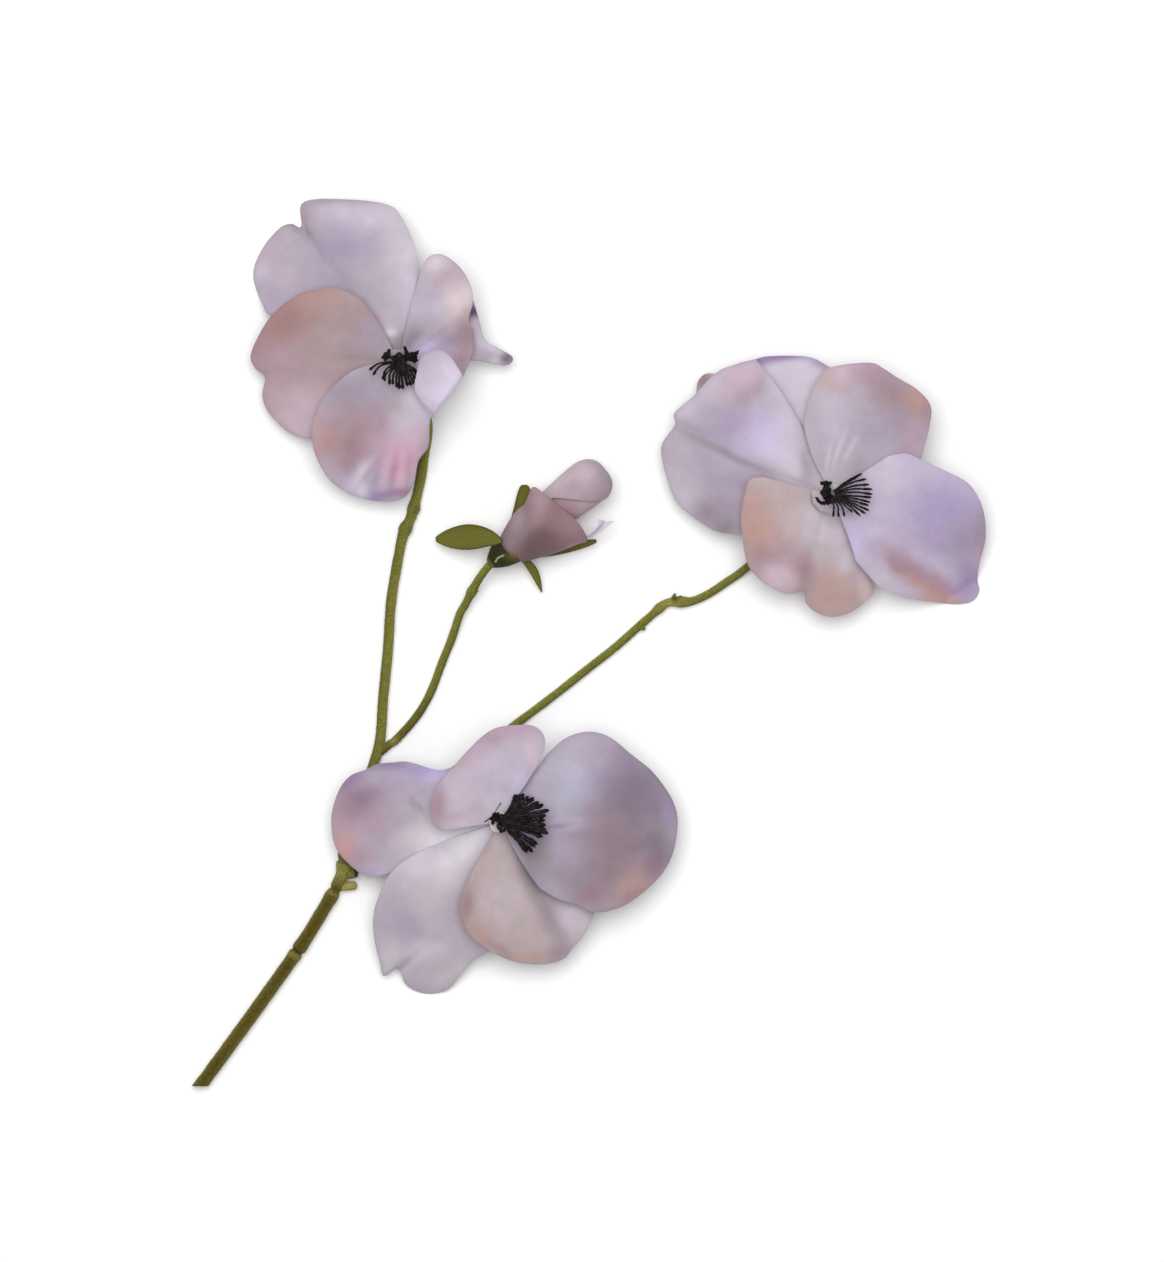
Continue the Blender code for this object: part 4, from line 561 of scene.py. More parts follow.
        ("near_white", -9, -7, 8, 4, 45, 0.6), ("white_lilac", -20, -10, 6, 4, 30, 0.6),
        ("grey_violet", -23.5, -25, 4.5, 4, 0, 0.85), ("pale_grey", -28, -33.3, 2.5, 4, 0, 0.8),
        ("warm_grey", -17.5, -33.3, 5, 3.5, 0, 0.3), ("white_lilac", -20, -33.5, 7, 3, 30, 0.5),
        ("mauve", -24.5, -36, 4.5, 0.9, 38, 0.6), ("grey_lilac", -21, -38, 4, 1.5, 38, 0.8),
        ("pale_grey", -14.5, -39, 3.5, 2.5, 0, 0.6), ("pale_grey", -9.5, -36, 3, 3, 0, 0.6)]),
    ("low", "bottom"): ("warm_grey", [("pale_grey", 1.2, -18.3, 5, 5.5, 0, 0.35),
        ("dusky_rose", -8.7, -21, 2, 6, -10, 0.7), ("rose_mauve", -4, -29, 4, 3, -50, 0.5),
        ("peach", -5.5, -28, 4, 2.2, -50, 0.6), ("dusky_rose", 0, -32.5, 4, 1.5, -25, 0.6),
        ("peach", 7.5, -33.8, 4, 1.5, 0, 0.6), ("mauve", 14, -32, 3, 2, 30, 0.45),
        # The shade_grey marks here and below, and the mauve_grey band beside them, are painted shade along
        # the fold and under the tuft.
        ("pale_lilac", 18, -24, 4.5, 6.5, 20, 0.75), ("shade_grey", 9, -14, 2.4, 8, 30, 0.6),
        ("mauve", 12.5, -24, 2, 7, 30, 0.4), ("shade_grey", 6, -9, 2.2, 6, 25, 0.9),
        ("shade_grey", 9, -12, 3.5, 4, -30, 0.8), ("pale_grey", -4.5, -32.8, 4, 1.4, 0, 0.6),
        ("mauve", 15, -32.3, 3, 1.8, 30, 0.5), ("shade_grey", 9.3, -17.5, 1.9, 5, 27, 0.55),
        ("mauve_grey", 12.8, -25.5, 1.9, 5, 22, 0.6), ("grey_lilac", 15, -18, 3, 3, 0, 0.5)]),
    ("low", "right"): ("grey_violet", [("grey_lilac", 18, 13.5, 12, 9, 30, 0.95),
        ("pale_blue_grey", 17.5, 9, 8, 6, 20, 0.85), ("light_violet", 21, 12, 5, 4, 0, 0.3),
        ("mauve", 31, 7, 9, 8, 0, 0.7), ("mauve", 27, -4, 10, 4, 0, 0.6),
        ("dark_mauve", 34, 7, 9, 10, 10, 0.55), ("brown_mauve", 27, 1, 9, 4, 8, 0.4),
        ("brown_mauve", 28, -11, 11, 6.5, 15, 0.8), ("violet", 41.7, 1.7, 1.5, 2, 0, 0.85),
        ("shade_grey", 39.5, -3.5, 2.5, 3, 0, 0.7), ("dark_mauve", 35.5, -5.5, 4, 1.5, 20, 0.35),
        ("brown_mauve", 27, -4, 8, 4, 0, 0.45), ("grey_violet", 14.5, -8, 5, 5, 0, 0.7),
        ("shade_grey", 8.5, -8.5, 3, 5, -40, 0.9), ("shade_grey", 17, -14, 5, 4, -40, 0.5),
        ("dusky_rose", 23, -18.3, 4.5, 2.5, 0, 0.7), ("peach", 32.5, -15.5, 6, 2.6, 40, 0.65),
        ("orange_peach", 34.5, -17.5, 4, 1.5, 40, 0.45), ("rose_mauve", 38, -11.5, 2, 3, 0, 0.8),
        ("dark_mauve", 15.5, -0.8, 3.5, 0.6, 8, 0.7), ("shade_grey", 9, -12, 3.5, 4, -30, 0.6),
        ("mauve_grey", 25.5, -21, 3.5, 2, 0, 0.5), ("dark_mauve", 39, -9, 2.5, 4, 0, 0.5),
        # The grey_violet mark at (12, 8) is painted shadow of the tuft.
        ("grey_violet", 12, 8, 2.5, 3, 0, 0.5), ("dusky_rose", 33, -18.5, 3, 1.5, 30, 0.5),
        ("lilac", 17.5, -0.2, 4, 1.8, 0, 0.5), ("grey_lilac", 15, -18, 3, 3, 0, 0.4)]),
    ("low", "top"): ("grey_lilac", [("pink_lilac", -6, 9, 9, 6, 30, 0.5), ("lilac", -1, 13.5, 6, 4, 40, 0.7),
        ("rose", 4.5, 23, 6.5, 1.6, -3, 0.8), ("pink", 8, 17.5, 2, 3.5, 0, 0.6),
        ("pink", -9, 6, 5, 3.5, 0, 0.4), ("light_violet", 4, 9, 1.5, 5, -20, 0.4),
        ("rose_mauve", -15.7, 4.5, 1.8, 6, -8, 0.85), ("rose_mauve", -11, 1, 5, 1.2, -10, 0.5),
        ("warm_grey", -11.3, 13.5, 3.5, 1.2, 50, 0.7), ("pale_lilac", -1.3, 5, 3, 2.5, 0, 0.6),
        ("rose_mauve", -3, 21, 4, 2, 0, 0.6), ("rose", -6, 18, 4, 2.2, 40, 0.5),
        ("pink_lilac", -9, 0, 3, 2, 0, 0.7), ("light_violet", -14.5, 12, 2.5, 2.5, 0, 0.4)]),
}


# Colours of the petals as they look on a screen, from 0 to 255. Most are the airbrushed dye; shade_grey is
# painted shade, some marks in the darker mauves, grey violet and the bud's darkest colour are painted shade
# too, and near_white is painted light.
PETAL_COLOURS = {"white_lilac": (218, 208, 222), "pale_lilac": (205, 194, 209), "lilac": (196, 182, 204),
    "light_violet": (203, 190, 226), "violet_blue": (168, 153, 194), "violet": (166, 149, 180),
    "deep_violet": (150, 127, 166), "grey_violet": (174, 160, 180), "grey_lilac": (184, 172, 185),
    "mauve": (158, 141, 157), "dark_mauve": (126, 110, 128), "plum": (112, 84, 108),
    "pale_grey": (199, 188, 196), "shade_grey": (150, 139, 146), "pink": (210, 185, 200),
    "rose": (189, 157, 177), "rose_mauve": (172, 143, 154), "dusky_rose": (157, 128, 134),
    "brown_rose": (163, 123, 120), "peach": (189, 156, 150), "pale_peach": (213, 188, 186),
    "orange_peach": (196, 150, 133), "coral": (200, 157, 158), "cream_pink": (223, 207, 212),
    "warm_grey": (188, 171, 175), "dusty_rose": (176, 154, 160), "mauve_grey": (164, 150, 155),
    "deep_rose": (170, 122, 146), "brown_mauve": (150, 130, 137), "pale_blue_grey": (186, 184, 200),
    "pink_lilac": (199, 184, 198), "near_white": (236, 230, 238), "bud_rose": (137, 109, 115),
    "bud_soft": (164, 147, 156), "bud_pale": (192, 175, 182), "candy": (214, 170, 192),
    "flap_violet": (222, 211, 231), "bud_grey": (132, 118, 124), "bud_dusk": (104, 82, 85)}


def colour(name, sight, words):
    """A colour property whose default is given as it looks on a screen, from 0 to 255."""
    part = np.array(sight) / 255
    linear = np.where(part <= 0.04045, part / 12.92, ((part + 0.055) / 1.055) ** 2.4)
    return FloatVectorProperty(name=name, description=words, default=tuple(float(x) for x in linear),
                               size=3, min=0, max=1, subtype="COLOR")


def length(name, millimetres, words):
    """A length property in metres whose default is given in millimetres."""
    return FloatProperty(name=name, description=words, default=millimetres * MM, min=0, unit="LENGTH",
                         precision=5)


class PetalSettings(bpy.types.PropertyGroup):
    thickness: length("Thickness", 0.38, "Thickness of the petal fabric in its middle")
    rim_thickness: length("Rim thickness", 0.24, "Thickness of the petal fabric at its rim")
    rows: IntProperty(name="Rows", description="Rows of faces from claw to rim", default=70, min=8, max=120)
    columns: IntProperty(name="Columns", description="Columns of faces across a petal", default=110, min=16,
                         max=200)
    lift: FloatProperty(name="Lift", description="How much lighter than listed all petal colours are",
                        default=0.87, min=0.5, max=2)
    depth: FloatProperty(name="Depth", description="How far the painted colours stand off their mean lilac",
                         default=1.18, min=0, max=3)
    weave: length("Weave", 0.34, "Spacing of the threads in the petal fabric")
    lilac_mean: colour("Lilac mean", (184, 169, 181), "Mean colour that the painted ones stand off")


# Every colour above becomes a setting; the ones used as painted shade and painted light are not dye.
PetalSettings.__annotations__.update({
    name: colour(name.replace("_", " ").capitalize(), sight, "Airbrushed colour of the petals")
    for name, sight in PETAL_COLOURS.items()})


class GreenSettings(bpy.types.PropertyGroup):
    olive: colour("Olive", (107, 107, 46), "Flocked branches")
    pale_olive: colour("Pale olive", (146, 140, 76), "Worn and lit flock at joints")
    brown_olive: colour("Brown olive", (75, 64, 15), "Main stem")
    deep_green: colour("Deep green", (42, 44, 20), "Calyx cups")
    leaf: colour("Leaf", (106, 104, 40), "Sepals")
    leaf_rim: colour("Leaf rim", (84, 84, 32), "Darker rim of the sepals")
    glue: colour("Glue", (190, 186, 160), "Dried glue on the bud's cup")
    scar: colour("Scar", (58, 44, 24), "Torn nubs and joints")
    flock: length("Flock", 0.12, "Size of the grains of flock")
    weave: length("Weave", 0.66, "Spacing of the diagonal ribs in the sepal fabric")


class CentreSettings(bpy.types.PropertyGroup):
    black: colour("Black", (16, 12, 14), "Stamen threads")
    brown: colour("Brown", (46, 34, 34), "Frayed stamen tips")
    cream: colour("Cream", (196, 186, 188), "Throat of each bloom")
    thread: length("Thread", 0.27, "Radius of a stamen thread")
    sides: IntProperty(name="Sides", description="Faces round a stamen thread", default=8, min=5, max=24)


class StageSettings(bpy.types.PropertyGroup):
    floor: colour("Floor", (250, 250, 250), "Table top")
    lens: FloatProperty(name="Lens", description="Focal length of the camera in millimetres", default=182.6,
                        min=20, max=400)
    key_power: FloatProperty(name="Key power", description="Power of the soft light above the spray",
                             default=25, min=0, max=500, unit="POWER")
    sky: FloatProperty(name="Sky", description="Strength of the even light from all round", default=0.45,
                       min=0, max=4)


def drawn_in(points):
    """Points in plan as seen from VIEW_HEIGHT, moved to where they lie at their own height."""
    points = np.array(points, dtype=float)
    share = 1.0 - points[..., 2:3] / VIEW_HEIGHT
    centre = np.array(VIEW_CENTRE)
    points[..., :2] = centre + (points[..., :2] - centre) * share + np.array(PLAN_SHIFT)
    return points


def smooth_through(points, places):
    """Read a Catmull-Rom curve through the points at places counted in points, such as 1.5."""
    points = np.array(points, dtype=float)
    padded = np.vstack([2 * points[0] - points[1], points, 2 * points[-1] - points[-2]])
    places = np.clip(places, 0, len(points) - 1 - 1e-9)
    index = places.astype(int)
    u = (places - index)[:, None]
    p0, p1, p2, p3 = (padded[index + k] for k in range(4))
    return 0.5 * (2 * p1 + (p2 - p0) * u + (2 * p0 - 5 * p1 + 4 * p2 - p3) * u ** 2
                  + (3 * p1 - p0 - 3 * p2 + p3) * u ** 3)


def lengths_along(points):
    """Length from the first point to each point."""
    return np.concatenate([[0], np.cumsum(np.linalg.norm(np.diff(points, axis=0), axis=1))])


def read_at(points, wanted):
    """Points at the wanted lengths along a fine line of points."""
    places = lengths_along(points)
    return np.stack([np.interp(wanted, places, points[:, k]) for k in range(points.shape[1])], axis=1)


def fine_line(points):
    """The smooth curve through the points, as a line of 60 times as many."""
    return smooth_through(points, np.linspace(0, len(points) - 1, 60 * len(points)))


def evenly_along(points, count):
    """Count points at even steps of length along the smooth curve through the given ones."""
    fine = fine_line(points)
    return read_at(fine, np.linspace(0, lengths_along(fine)[-1], count))


def turns(count):
    """Count angles in radians, evenly round a full turn."""
    return np.linspace(0, 2 * math.pi, count, endpoint=False)


def tint(colours, share, tone):
    """Move the colours towards a tone by a share of the way, given for each point."""
    colours += share[..., None] * (tone - colours)


def on_table(rings):
    """Raise what is lower than TABLE_GAP to it."""
    rings[..., 2] = np.maximum(rings[..., 2], TABLE_GAP)


def ripples(x, y, seed, size):
    """Soft noise from about -1 to 1 in the plane: the mean of a few sine waves of random heading and a
    length near size, times a gain."""
    rng = np.random.default_rng(seed)
    total = np.zeros(np.broadcast(x, y).shape)
    for _ in range(RIPPLE_WAVES):
        heading, phase = rng.uniform(0, 2 * math.pi, 2)
        wave = 2 * math.pi / (size * rng.uniform(0.6, 1.6))
        total += np.sin(wave * (x * math.cos(heading) + y * math.sin(heading)) + phase)
    return total / RIPPLE_WAVES * RIPPLE_GAIN


def grid_faces(rows, columns, start=0, around=False):
    """Quads between the rows and columns of a grid of points; around joins the last column to the first."""
    i = np.arange(rows - 1)[:, None]
    j = np.arange(columns if around else columns - 1)[None]
    k = (j + 1) % columns
    row, after = i * columns, (i + 1) * columns
    corners = np.broadcast_arrays(row + j, row + k, after + k, after + j)
    return np.stack(corners, axis=-1).reshape(-1, 4) + start


def strip_faces(first, second):
    """Quads between two lines of point numbers of equal length."""
    return np.stack([first[:-1], first[1:], second[1:], second[:-1]], axis=1)


def fan_faces(ring, middle):
    """Triangles from a closed ring of point numbers to one in the middle."""
    return np.stack([ring, np.roll(ring, -1), np.full(len(ring), middle)], axis=1)


def facing_out(verts, groups):
    """The groups of faces, all turned round if they enclose a negative volume."""
    volume = 0.0
    for faces in groups:
        for k in range(1, faces.shape[1] - 1):
            a, b, c = verts[faces[:, 0]], verts[faces[:, k]], verts[faces[:, k + 1]]
            volume += np.einsum("ij,ij->", a, np.cross(b, c))
    return groups if volume > 0 else [faces[:, ::-1] for faces in groups]


def sheet_normals(grid, around=False):
    """Unit normals of a surface given as rows and columns of points."""
    along = np.gradient(grid, axis=0)
    if around:
        across = (np.roll(grid, -1, axis=1) - np.roll(grid, 1, axis=1)) / 2
    else:
        across = np.gradient(grid, axis=1)
    normal = np.cross(along, across)
    return normal / np.maximum(np.linalg.norm(normal, axis=2, keepdims=True), 1e-9)


def add_piece(name, verts, groups, material, replaces, paint=None, uv=None, crease=PIECE_CREASE,
              weld=False):
    """Put points in millimetres and groups of faces into a piece that stands for its CAD nodes."""
    groups = facing_out(verts, groups)
    mesh = bpy.data.meshes.new(name)
    mesh.from_pydata((verts * MM).tolist(), [], [face for faces in groups for face in faces.tolist()])
    if uv is not None:
        corners = np.empty(len(mesh.loops), dtype=np.int32)
        mesh.loops.foreach_get("vertex_index", corners)
        mesh.uv_layers.new(name="weave").data.foreach_set("uv", np.ascontiguousarray(uv[corners]).ravel())
    if paint is not None:
        layer = mesh.attributes.new("paint", "FLOAT_COLOR", "POINT")
        layer.data.foreach_set("color", np.column_stack([paint, np.ones(len(paint))]).ravel())
    if weld:
        work = bmesh.new()
        work.from_mesh(mesh)
        bmesh.ops.remove_doubles(work, verts=work.verts, dist=WELD_GAP * MM)
        work.to_mesh(mesh)
        work.free()
    mesh.shade_smooth()
    mesh.set_sharp_from_angle(angle=math.radians(crease))
    mesh.materials.append(material)
    piece = bpy.data.objects.new(name, mesh)
    bpy.context.scene.collection.objects.link(piece)
    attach(piece, BODY)
    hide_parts(*replaces)
    return piece


def add_sheet(name, grid, thickness, material, replaces, paint, uv, around=False):
    """A thin closed sheet: the grid moved half the thickness along its normal to each side, and a rim."""
    rows, columns = grid.shape[:2]
    normal = sheet_normals(grid, around)
    if around:
        normal[0] = normal[1].mean(axis=0) / np.linalg.norm(normal[1].mean(axis=0))
    half = thickness[..., None] / 2
    count = rows * columns
    verts = np.concatenate([(grid + normal * half).reshape(-1, 3), (grid - normal * half).reshape(-1, 3)])
    verts[:, 2] = np.maximum(verts[:, 2], 0)
    upper = grid_faces(rows, columns, 0, around)
    number = np.arange(count).reshape(rows, columns)
    if around:
        rim = np.concatenate([number[-1], number[-1, :1]])[::-1]
    else:
        rim = np.concatenate([number[0], number[1:, -1], number[-1, -2::-1], number[-2::-1, 0]])
    groups = [upper, upper[:, ::-1] + count, strip_faces(rim, rim + count)[:, ::-1]]
    paint, uv = (np.concatenate([value.reshape(count, -1)] * 2) for value in (paint, uv))
    return add_piece(name, verts, groups, material, replaces, paint, uv, SHEET_CREASE, weld=around)


def tube(points, radii, sides, across):
    """Rings round a path: each is its radius times cosine and sine of the turn, on two directions square to
    the path, the first of which leans on the fixed direction across."""
    tangent = np.gradient(points, axis=0)
    tangent /= np.linalg.norm(tangent, axis=1)[:, None]
    side = np.cross(tangent, np.array(across, dtype=float))
    side /= np.linalg.norm(side, axis=1)[:, None]
    up = np.cross(side, tangent)
    turn = turns(sides)[None, :, None]
    radii = np.broadcast_to(np.asarray(radii, dtype=float).reshape(len(points), -1), (len(points), sides))
    rings = points[:, None] + radii[..., None] * (np.cos(turn) * side[:, None] + np.sin(turn) * up[:, None])
    return rings, tangent


def closed_tube(rings, first_end, last_end):
    """Points and groups of faces of a tube of rings that closes on the two end points."""
    rows, sides = rings.shape[:2]
    verts = np.concatenate([rings.reshape(-1, 3), [first_end, last_end]])
    number = np.arange(rows * sides).reshape(rows, sides)
    faces = [grid_faces(rows, sides, 0, True), fan_faces(number[0], rows * sides)[:, ::-1],
             fan_faces(number[-1], rows * sides + 1)]
    return verts, faces


def together(parts):
    """One set of points and groups of faces from several."""
    verts, groups, start = [], [], 0
    for points, faces in parts:
        verts.append(points)
        groups += [group + start for group in faces]
        start += len(points)
    return np.concatenate(verts), groups


def swollen(places, radius, nodes):
    """The radius at each place along a branch, swollen at its nodes."""
    extra = np.zeros_like(places)
    for place, share, half in nodes:
        extra += share * np.exp(-((places - place) / half) ** 2)
    return radius * (1 + extra)


def mixed(base, marks, x, y, palette, seed=0):
    """The base colour with soft oval marks laid over it in turn, each (colour, x, y, half length, half
    width, turn, strength), whose outlines wander a little."""
    shift_x = WANDER * ripples(x, y, 11 + seed, WANDER_SIZE)
    shift_y = WANDER * ripples(x, y, 12 + seed, WANDER_SIZE)
    result = np.broadcast_to(palette[base], x.shape + (3,)).copy()
    for name, mark_x, mark_y, long, wide, turn, strength in marks:
        cosine, sine = math.cos(math.radians(turn)), math.sin(math.radians(turn))
        calm = min(1.0, min(long, wide) / 3)
        u = (x + calm * shift_x - mark_x) * cosine + (y + calm * shift_y - mark_y) * sine
        v = (y + calm * shift_y - mark_y) * cosine - (x + calm * shift_x - mark_x) * sine
        share = strength * np.exp(-((u / long) ** 2 + (v / wide) ** 2) ** 1.15 * 0.8)
        tint(result, share, palette[name])
    return result


def node(tree, kind, place, inputs=(), **settings):
    """A shader node with its settings, and inputs given as values or as sockets to link."""
    made = tree.nodes.new(kind)
    made.location = place
    for key, value in settings.items():
        setattr(made, key, value)
    for key, value in dict(inputs).items():
        if isinstance(value, bpy.types.NodeSocket):
            tree.links.new(value, made.inputs[key])
        else:
            made.inputs[key].default_value = value
    return made


def new_material(name, roughness, sheen, specular):
    """A material, its node tree and its shader, with the given roughness, sheen and shine."""
    material = bpy.data.materials.new(name)
    material.use_nodes = True
    tree = material.node_tree
    shader = tree.nodes["Principled BSDF"]
    shader.inputs["Roughness"].default_value = roughness
    shader.inputs["Sheen Weight"].default_value = sheen
    shader.inputs["Sheen Roughness"].default_value = 0.4
    shader.inputs["Specular IOR Level"].default_value = specular
    return material, tree, shader


def painted(tree):
    """The colour painted on each point, as a socket."""
    return node(tree, "ShaderNodeAttribute", (-1200, 300), attribute_name="paint").outputs["Color"]


def own_place(tree):
    """Each point's place in its object, as a socket."""
    return node(tree, "ShaderNodeTexCoord", (-1400, 100)).outputs["Object"]


def flat_place(tree):
    """Each point's place in its sheet's flat map, as a socket."""
    return node(tree, "ShaderNodeUVMap", (-1400, -200), uv_map="weave").outputs["UV"]


def noise(tree, place, points, scale, detail, roughness=0.5):
    """Cloudy noise from 0 to 1 over the points, as a socket."""
    return node(tree, "ShaderNodeTexNoise", place, {"Vector": points, "Scale": scale, "Detail": detail,
                "Roughness": roughness}).outputs["Fac"]


def bands(tree, place, points, scale, direction, distortion, detail):
    """Waves from 0 to 1 that run across a direction, as a socket."""
    return node(tree, "ShaderNodeTexWave", place, {"Vector": points, "Scale": scale, "Distortion": distortion,
                "Detail": detail}, bands_direction=direction).outputs["Fac"]


def ranged(tree, place, value, low, high, to_low=0.0, to_high=1.0):
    """A value that goes from low to high, stretched to go from to_low to to_high, as a socket."""
    return node(tree, "ShaderNodeMapRange", place, {"Value": value, "From Min": low, "From Max": high,
                "To Min": to_low, "To Max": to_high}).outputs["Result"]


def reckoned(tree, place, operation, first, second):
    """Two values added, multiplied or compared, as a socket."""
    return node(tree, "ShaderNodeMath", place, {0: first, 1: second}, operation=operation).outputs[0]


def multiplied(tree, place, tone, factor):
    """A colour times a factor, as a socket."""
    return node(tree, "ShaderNodeMix", place, {"Factor": 1.0, 6: tone, 7: factor}, data_type="RGBA",
                blend_type="MULTIPLY").outputs[2]


def between(tree, place, share, first, second):
    """A colour a share of the way from the first to the second, as a socket."""
    return node(tree, "ShaderNodeMix", place, {"Factor": share, 6: first, 7: second},
                data_type="RGBA").outputs[2]


def add_bump(tree, place, height, strength, distance, target):
    """A bump of the height over a distance in metres, linked to the target normal socket."""
    bump = node(tree, "ShaderNodeBump", place, {"Height": height, "Strength": strength, "Distance": distance})
    tree.links.new(bump.outputs["Normal"], target)
    return bump


def petal_material(name, settings):
    """Airbrushed satin: the paint times a faint cloudiness, rare dark specks, and a fine weave in bump."""
    material, tree, shader = new_material(name, 0.6, 0.04, 0.16)
    place = own_place(tree)
    cloud = noise(tree, (-1000, 100), place, 260.0, 4.0, 0.65)
    shade = ranged(tree, (-800, 100), cloud, 0.3, 0.7, 0.94, 1.055)
    toned = multiplied(tree, (-550, 250), painted(tree), shade)
    dots = node(tree, "ShaderNodeTexVoronoi", (-1000, 500), {"Vector": place, "Scale": 150.0})
    dot = ranged(tree, (-800, 500), dots.outputs["Distance"], 0.02, 0.045, 1.0, 0.0)
    rare = reckoned(tree, (-800, 700), "GREATER_THAN", dots.outputs["Color"], 0.86)
    speck = reckoned(tree, (-600, 600), "MULTIPLY", dot, rare)
    soft = reckoned(tree, (-450, 600), "MULTIPLY", speck, 0.45)
    speckled = between(tree, (-300, 300), soft, toned, (*settings.plum, 1.0))
    tree.links.new(speckled, shader.inputs["Base Color"])
    pitch = MM / settings.weave * math.pi / 10
    weave = flat_place(tree)
    threads = [bands(tree, (-1000, level), weave, pitch, direction, 0.6, 1.0)
               for direction, level in (("X", -200), ("Y", -500))]
    woven = reckoned(tree, (-750, -300), "MULTIPLY", *threads)
    crumple = noise(tree, (-1000, -800), place, 120.0, 3.0)
    coarse = add_bump(tree, (-250, -400), crumple, 0.25, 0.0005, shader.inputs["Normal"])
    add_bump(tree, (-450, -300), woven, 0.12, 0.00008, coarse.inputs["Normal"])
    return material


def flock_material(name, settings, roughness):
    """Flocked plastic: the paint broken up by fine grains in colour and bump."""
    material, tree, shader = new_material(name, roughness, 0.1, 0.12)
    grain = noise(tree, (-1000, 0), own_place(tree), 0.27 / settings.flock, 3.0, 0.7)
    shade = ranged(tree, (-600, 0), grain, 0.3, 0.7, 0.56, 1.5)
    tree.links.new(multiplied(tree, (-400, 200), painted(tree), shade), shader.inputs["Base Color"])
    add_bump(tree, (-300, -200), grain, 0.7, 0.00015, shader.inputs["Normal"])
    return material


def sepal_material(name, settings):
    """Coarse woven fabric: diagonal ribs in colour and bump on the sepal's own map."""
    material, tree, shader = new_material(name, 0.75, 0.08, 0.15)
    weave = flat_place(tree)
    pitch = MM / settings.weave * math.pi / 10
    ribs = bands(tree, (-1000, 0), weave, pitch * math.sqrt(2), "DIAGONAL", 0.5, 1.0)
    cross = bands(tree, (-1000, -300), weave, 2 * pitch, "X", 0.5, 2.0)
    both = reckoned(tree, (-800, -100), "MULTIPLY", ribs, cross)
    height = reckoned(tree, (-650, -100), "ADD", ribs, both)
    shade = ranged(tree, (-500, 100), height, 0.0, 2.0, 0.7, 1.4)
    tree.links.new(multiplied(tree, (-300, 250), painted(tree), shade), shader.inputs["Base Color"])
    add_bump(tree, (-300, -200), height, 0.5, 0.00012, shader.inputs["Normal"])
    return material


def throat_material():
    """Pale crumpled satin: the paint times a coarse cloudiness, which also bumps it."""
    material, tree, shader = new_material("throat_satin", 0.6, 0.1, 0.3)
    crumple = noise(tree, (-700, 0), own_place(tree), 500.0, 3.0)
    shade = ranged(tree, (-500, 100), crumple, 0.35, 0.65, 0.75, 1.08)
    tree.links.new(multiplied(tree, (-300, 150), painted(tree), shade), shader.inputs["Base Color"])
    add_bump(tree, (-300, -100), crumple, 0.5, 0.0003, shader.inputs["Normal"])
    return material


def thread_material(settings):
    """Black waxed thread that turns brown and frayed here and there."""
    material, tree, shader = new_material("stamen_thread", 0.6, 0.0, 0.15)
    patch = noise(tree, (-800, 0), own_place(tree), 900.0, 2.0)
    share = ranged(tree, (-600, 0), patch, 0.5, 0.75)
    tone = between(tree, (-300, 100), share, (*settings.black, 1.0), (*settings.brown, 1.0))
    tree.links.new(tone, shader.inputs["Base Color"])
    add_bump(tree, (-300, -200), patch, 0.4, 0.0001, shader.inputs["Normal"])
    return material


def palette_of(settings):
    """Each colour of a settings group by name, as an array."""
    names = [name for name, kind in settings.bl_rna.properties.items()
             if kind.type == "FLOAT" and kind.is_array]
    return {name: np.array(getattr(settings, name)) for name in names}


def folded(points, centre):
    """Roll what lies past the fold line up and back over it, by more the further along the line."""
    bearing = math.radians(FOLD_BEARING)
    along_line = np.array([math.cos(bearing), math.sin(bearing)])
    outward = np.array([math.sin(bearing), -math.cos(bearing)])
    start = np.array(centre) + np.array(FOLD_START)
    offset = points[..., :2] - start
    along = offset @ along_line
    radius = FOLD_RADII[0] + (FOLD_RADII[1] - FOLD_RADII[0]) * np.clip(along / FOLD_LENGTH, 0, 1)
    past = offset @ outward + radius
    ramp = np.clip((along + 1.0) / FOLD_RAMP, 0, 1)
    most = math.radians(FOLD_ANGLE) * ramp * ramp * (3 - 2 * ramp)
    turned = np.minimum(np.maximum(past, 0) / radius, most)
    beyond = np.maximum(past, 0) - radius * turned
    reach = radius * np.sin(turned) + beyond * np.cos(turned) - radius
    lift = radius * (1 - np.cos(turned)) + beyond * np.sin(turned)
    moved = past > 0
    result = points.copy()
    plan = start + along[..., None] * along_line + reach[..., None] * outward
    result[..., :2] = np.where(moved[..., None], plan, points[..., :2])
    result[..., 2] += np.where(moved, lift, 0)
    return result


def calmed(points, spread):
    """A line of points averaged with bell-shaped weights of the given spread; its ends stay."""
    reach = int(3 * spread)
    before = 2 * points[0] - points[reach:0:-1]
    after = 2 * points[-1] - points[-2:-reach - 2:-1]
    longer = np.concatenate([before, points, after])
    weight = np.exp(-0.5 * (np.arange(-reach, reach + 1) / spread) ** 2)
    weight /= weight.sum()
    return np.stack([np.convolve(longer[:, k], weight, "valid") for k in range(points.shape[1])], axis=1)


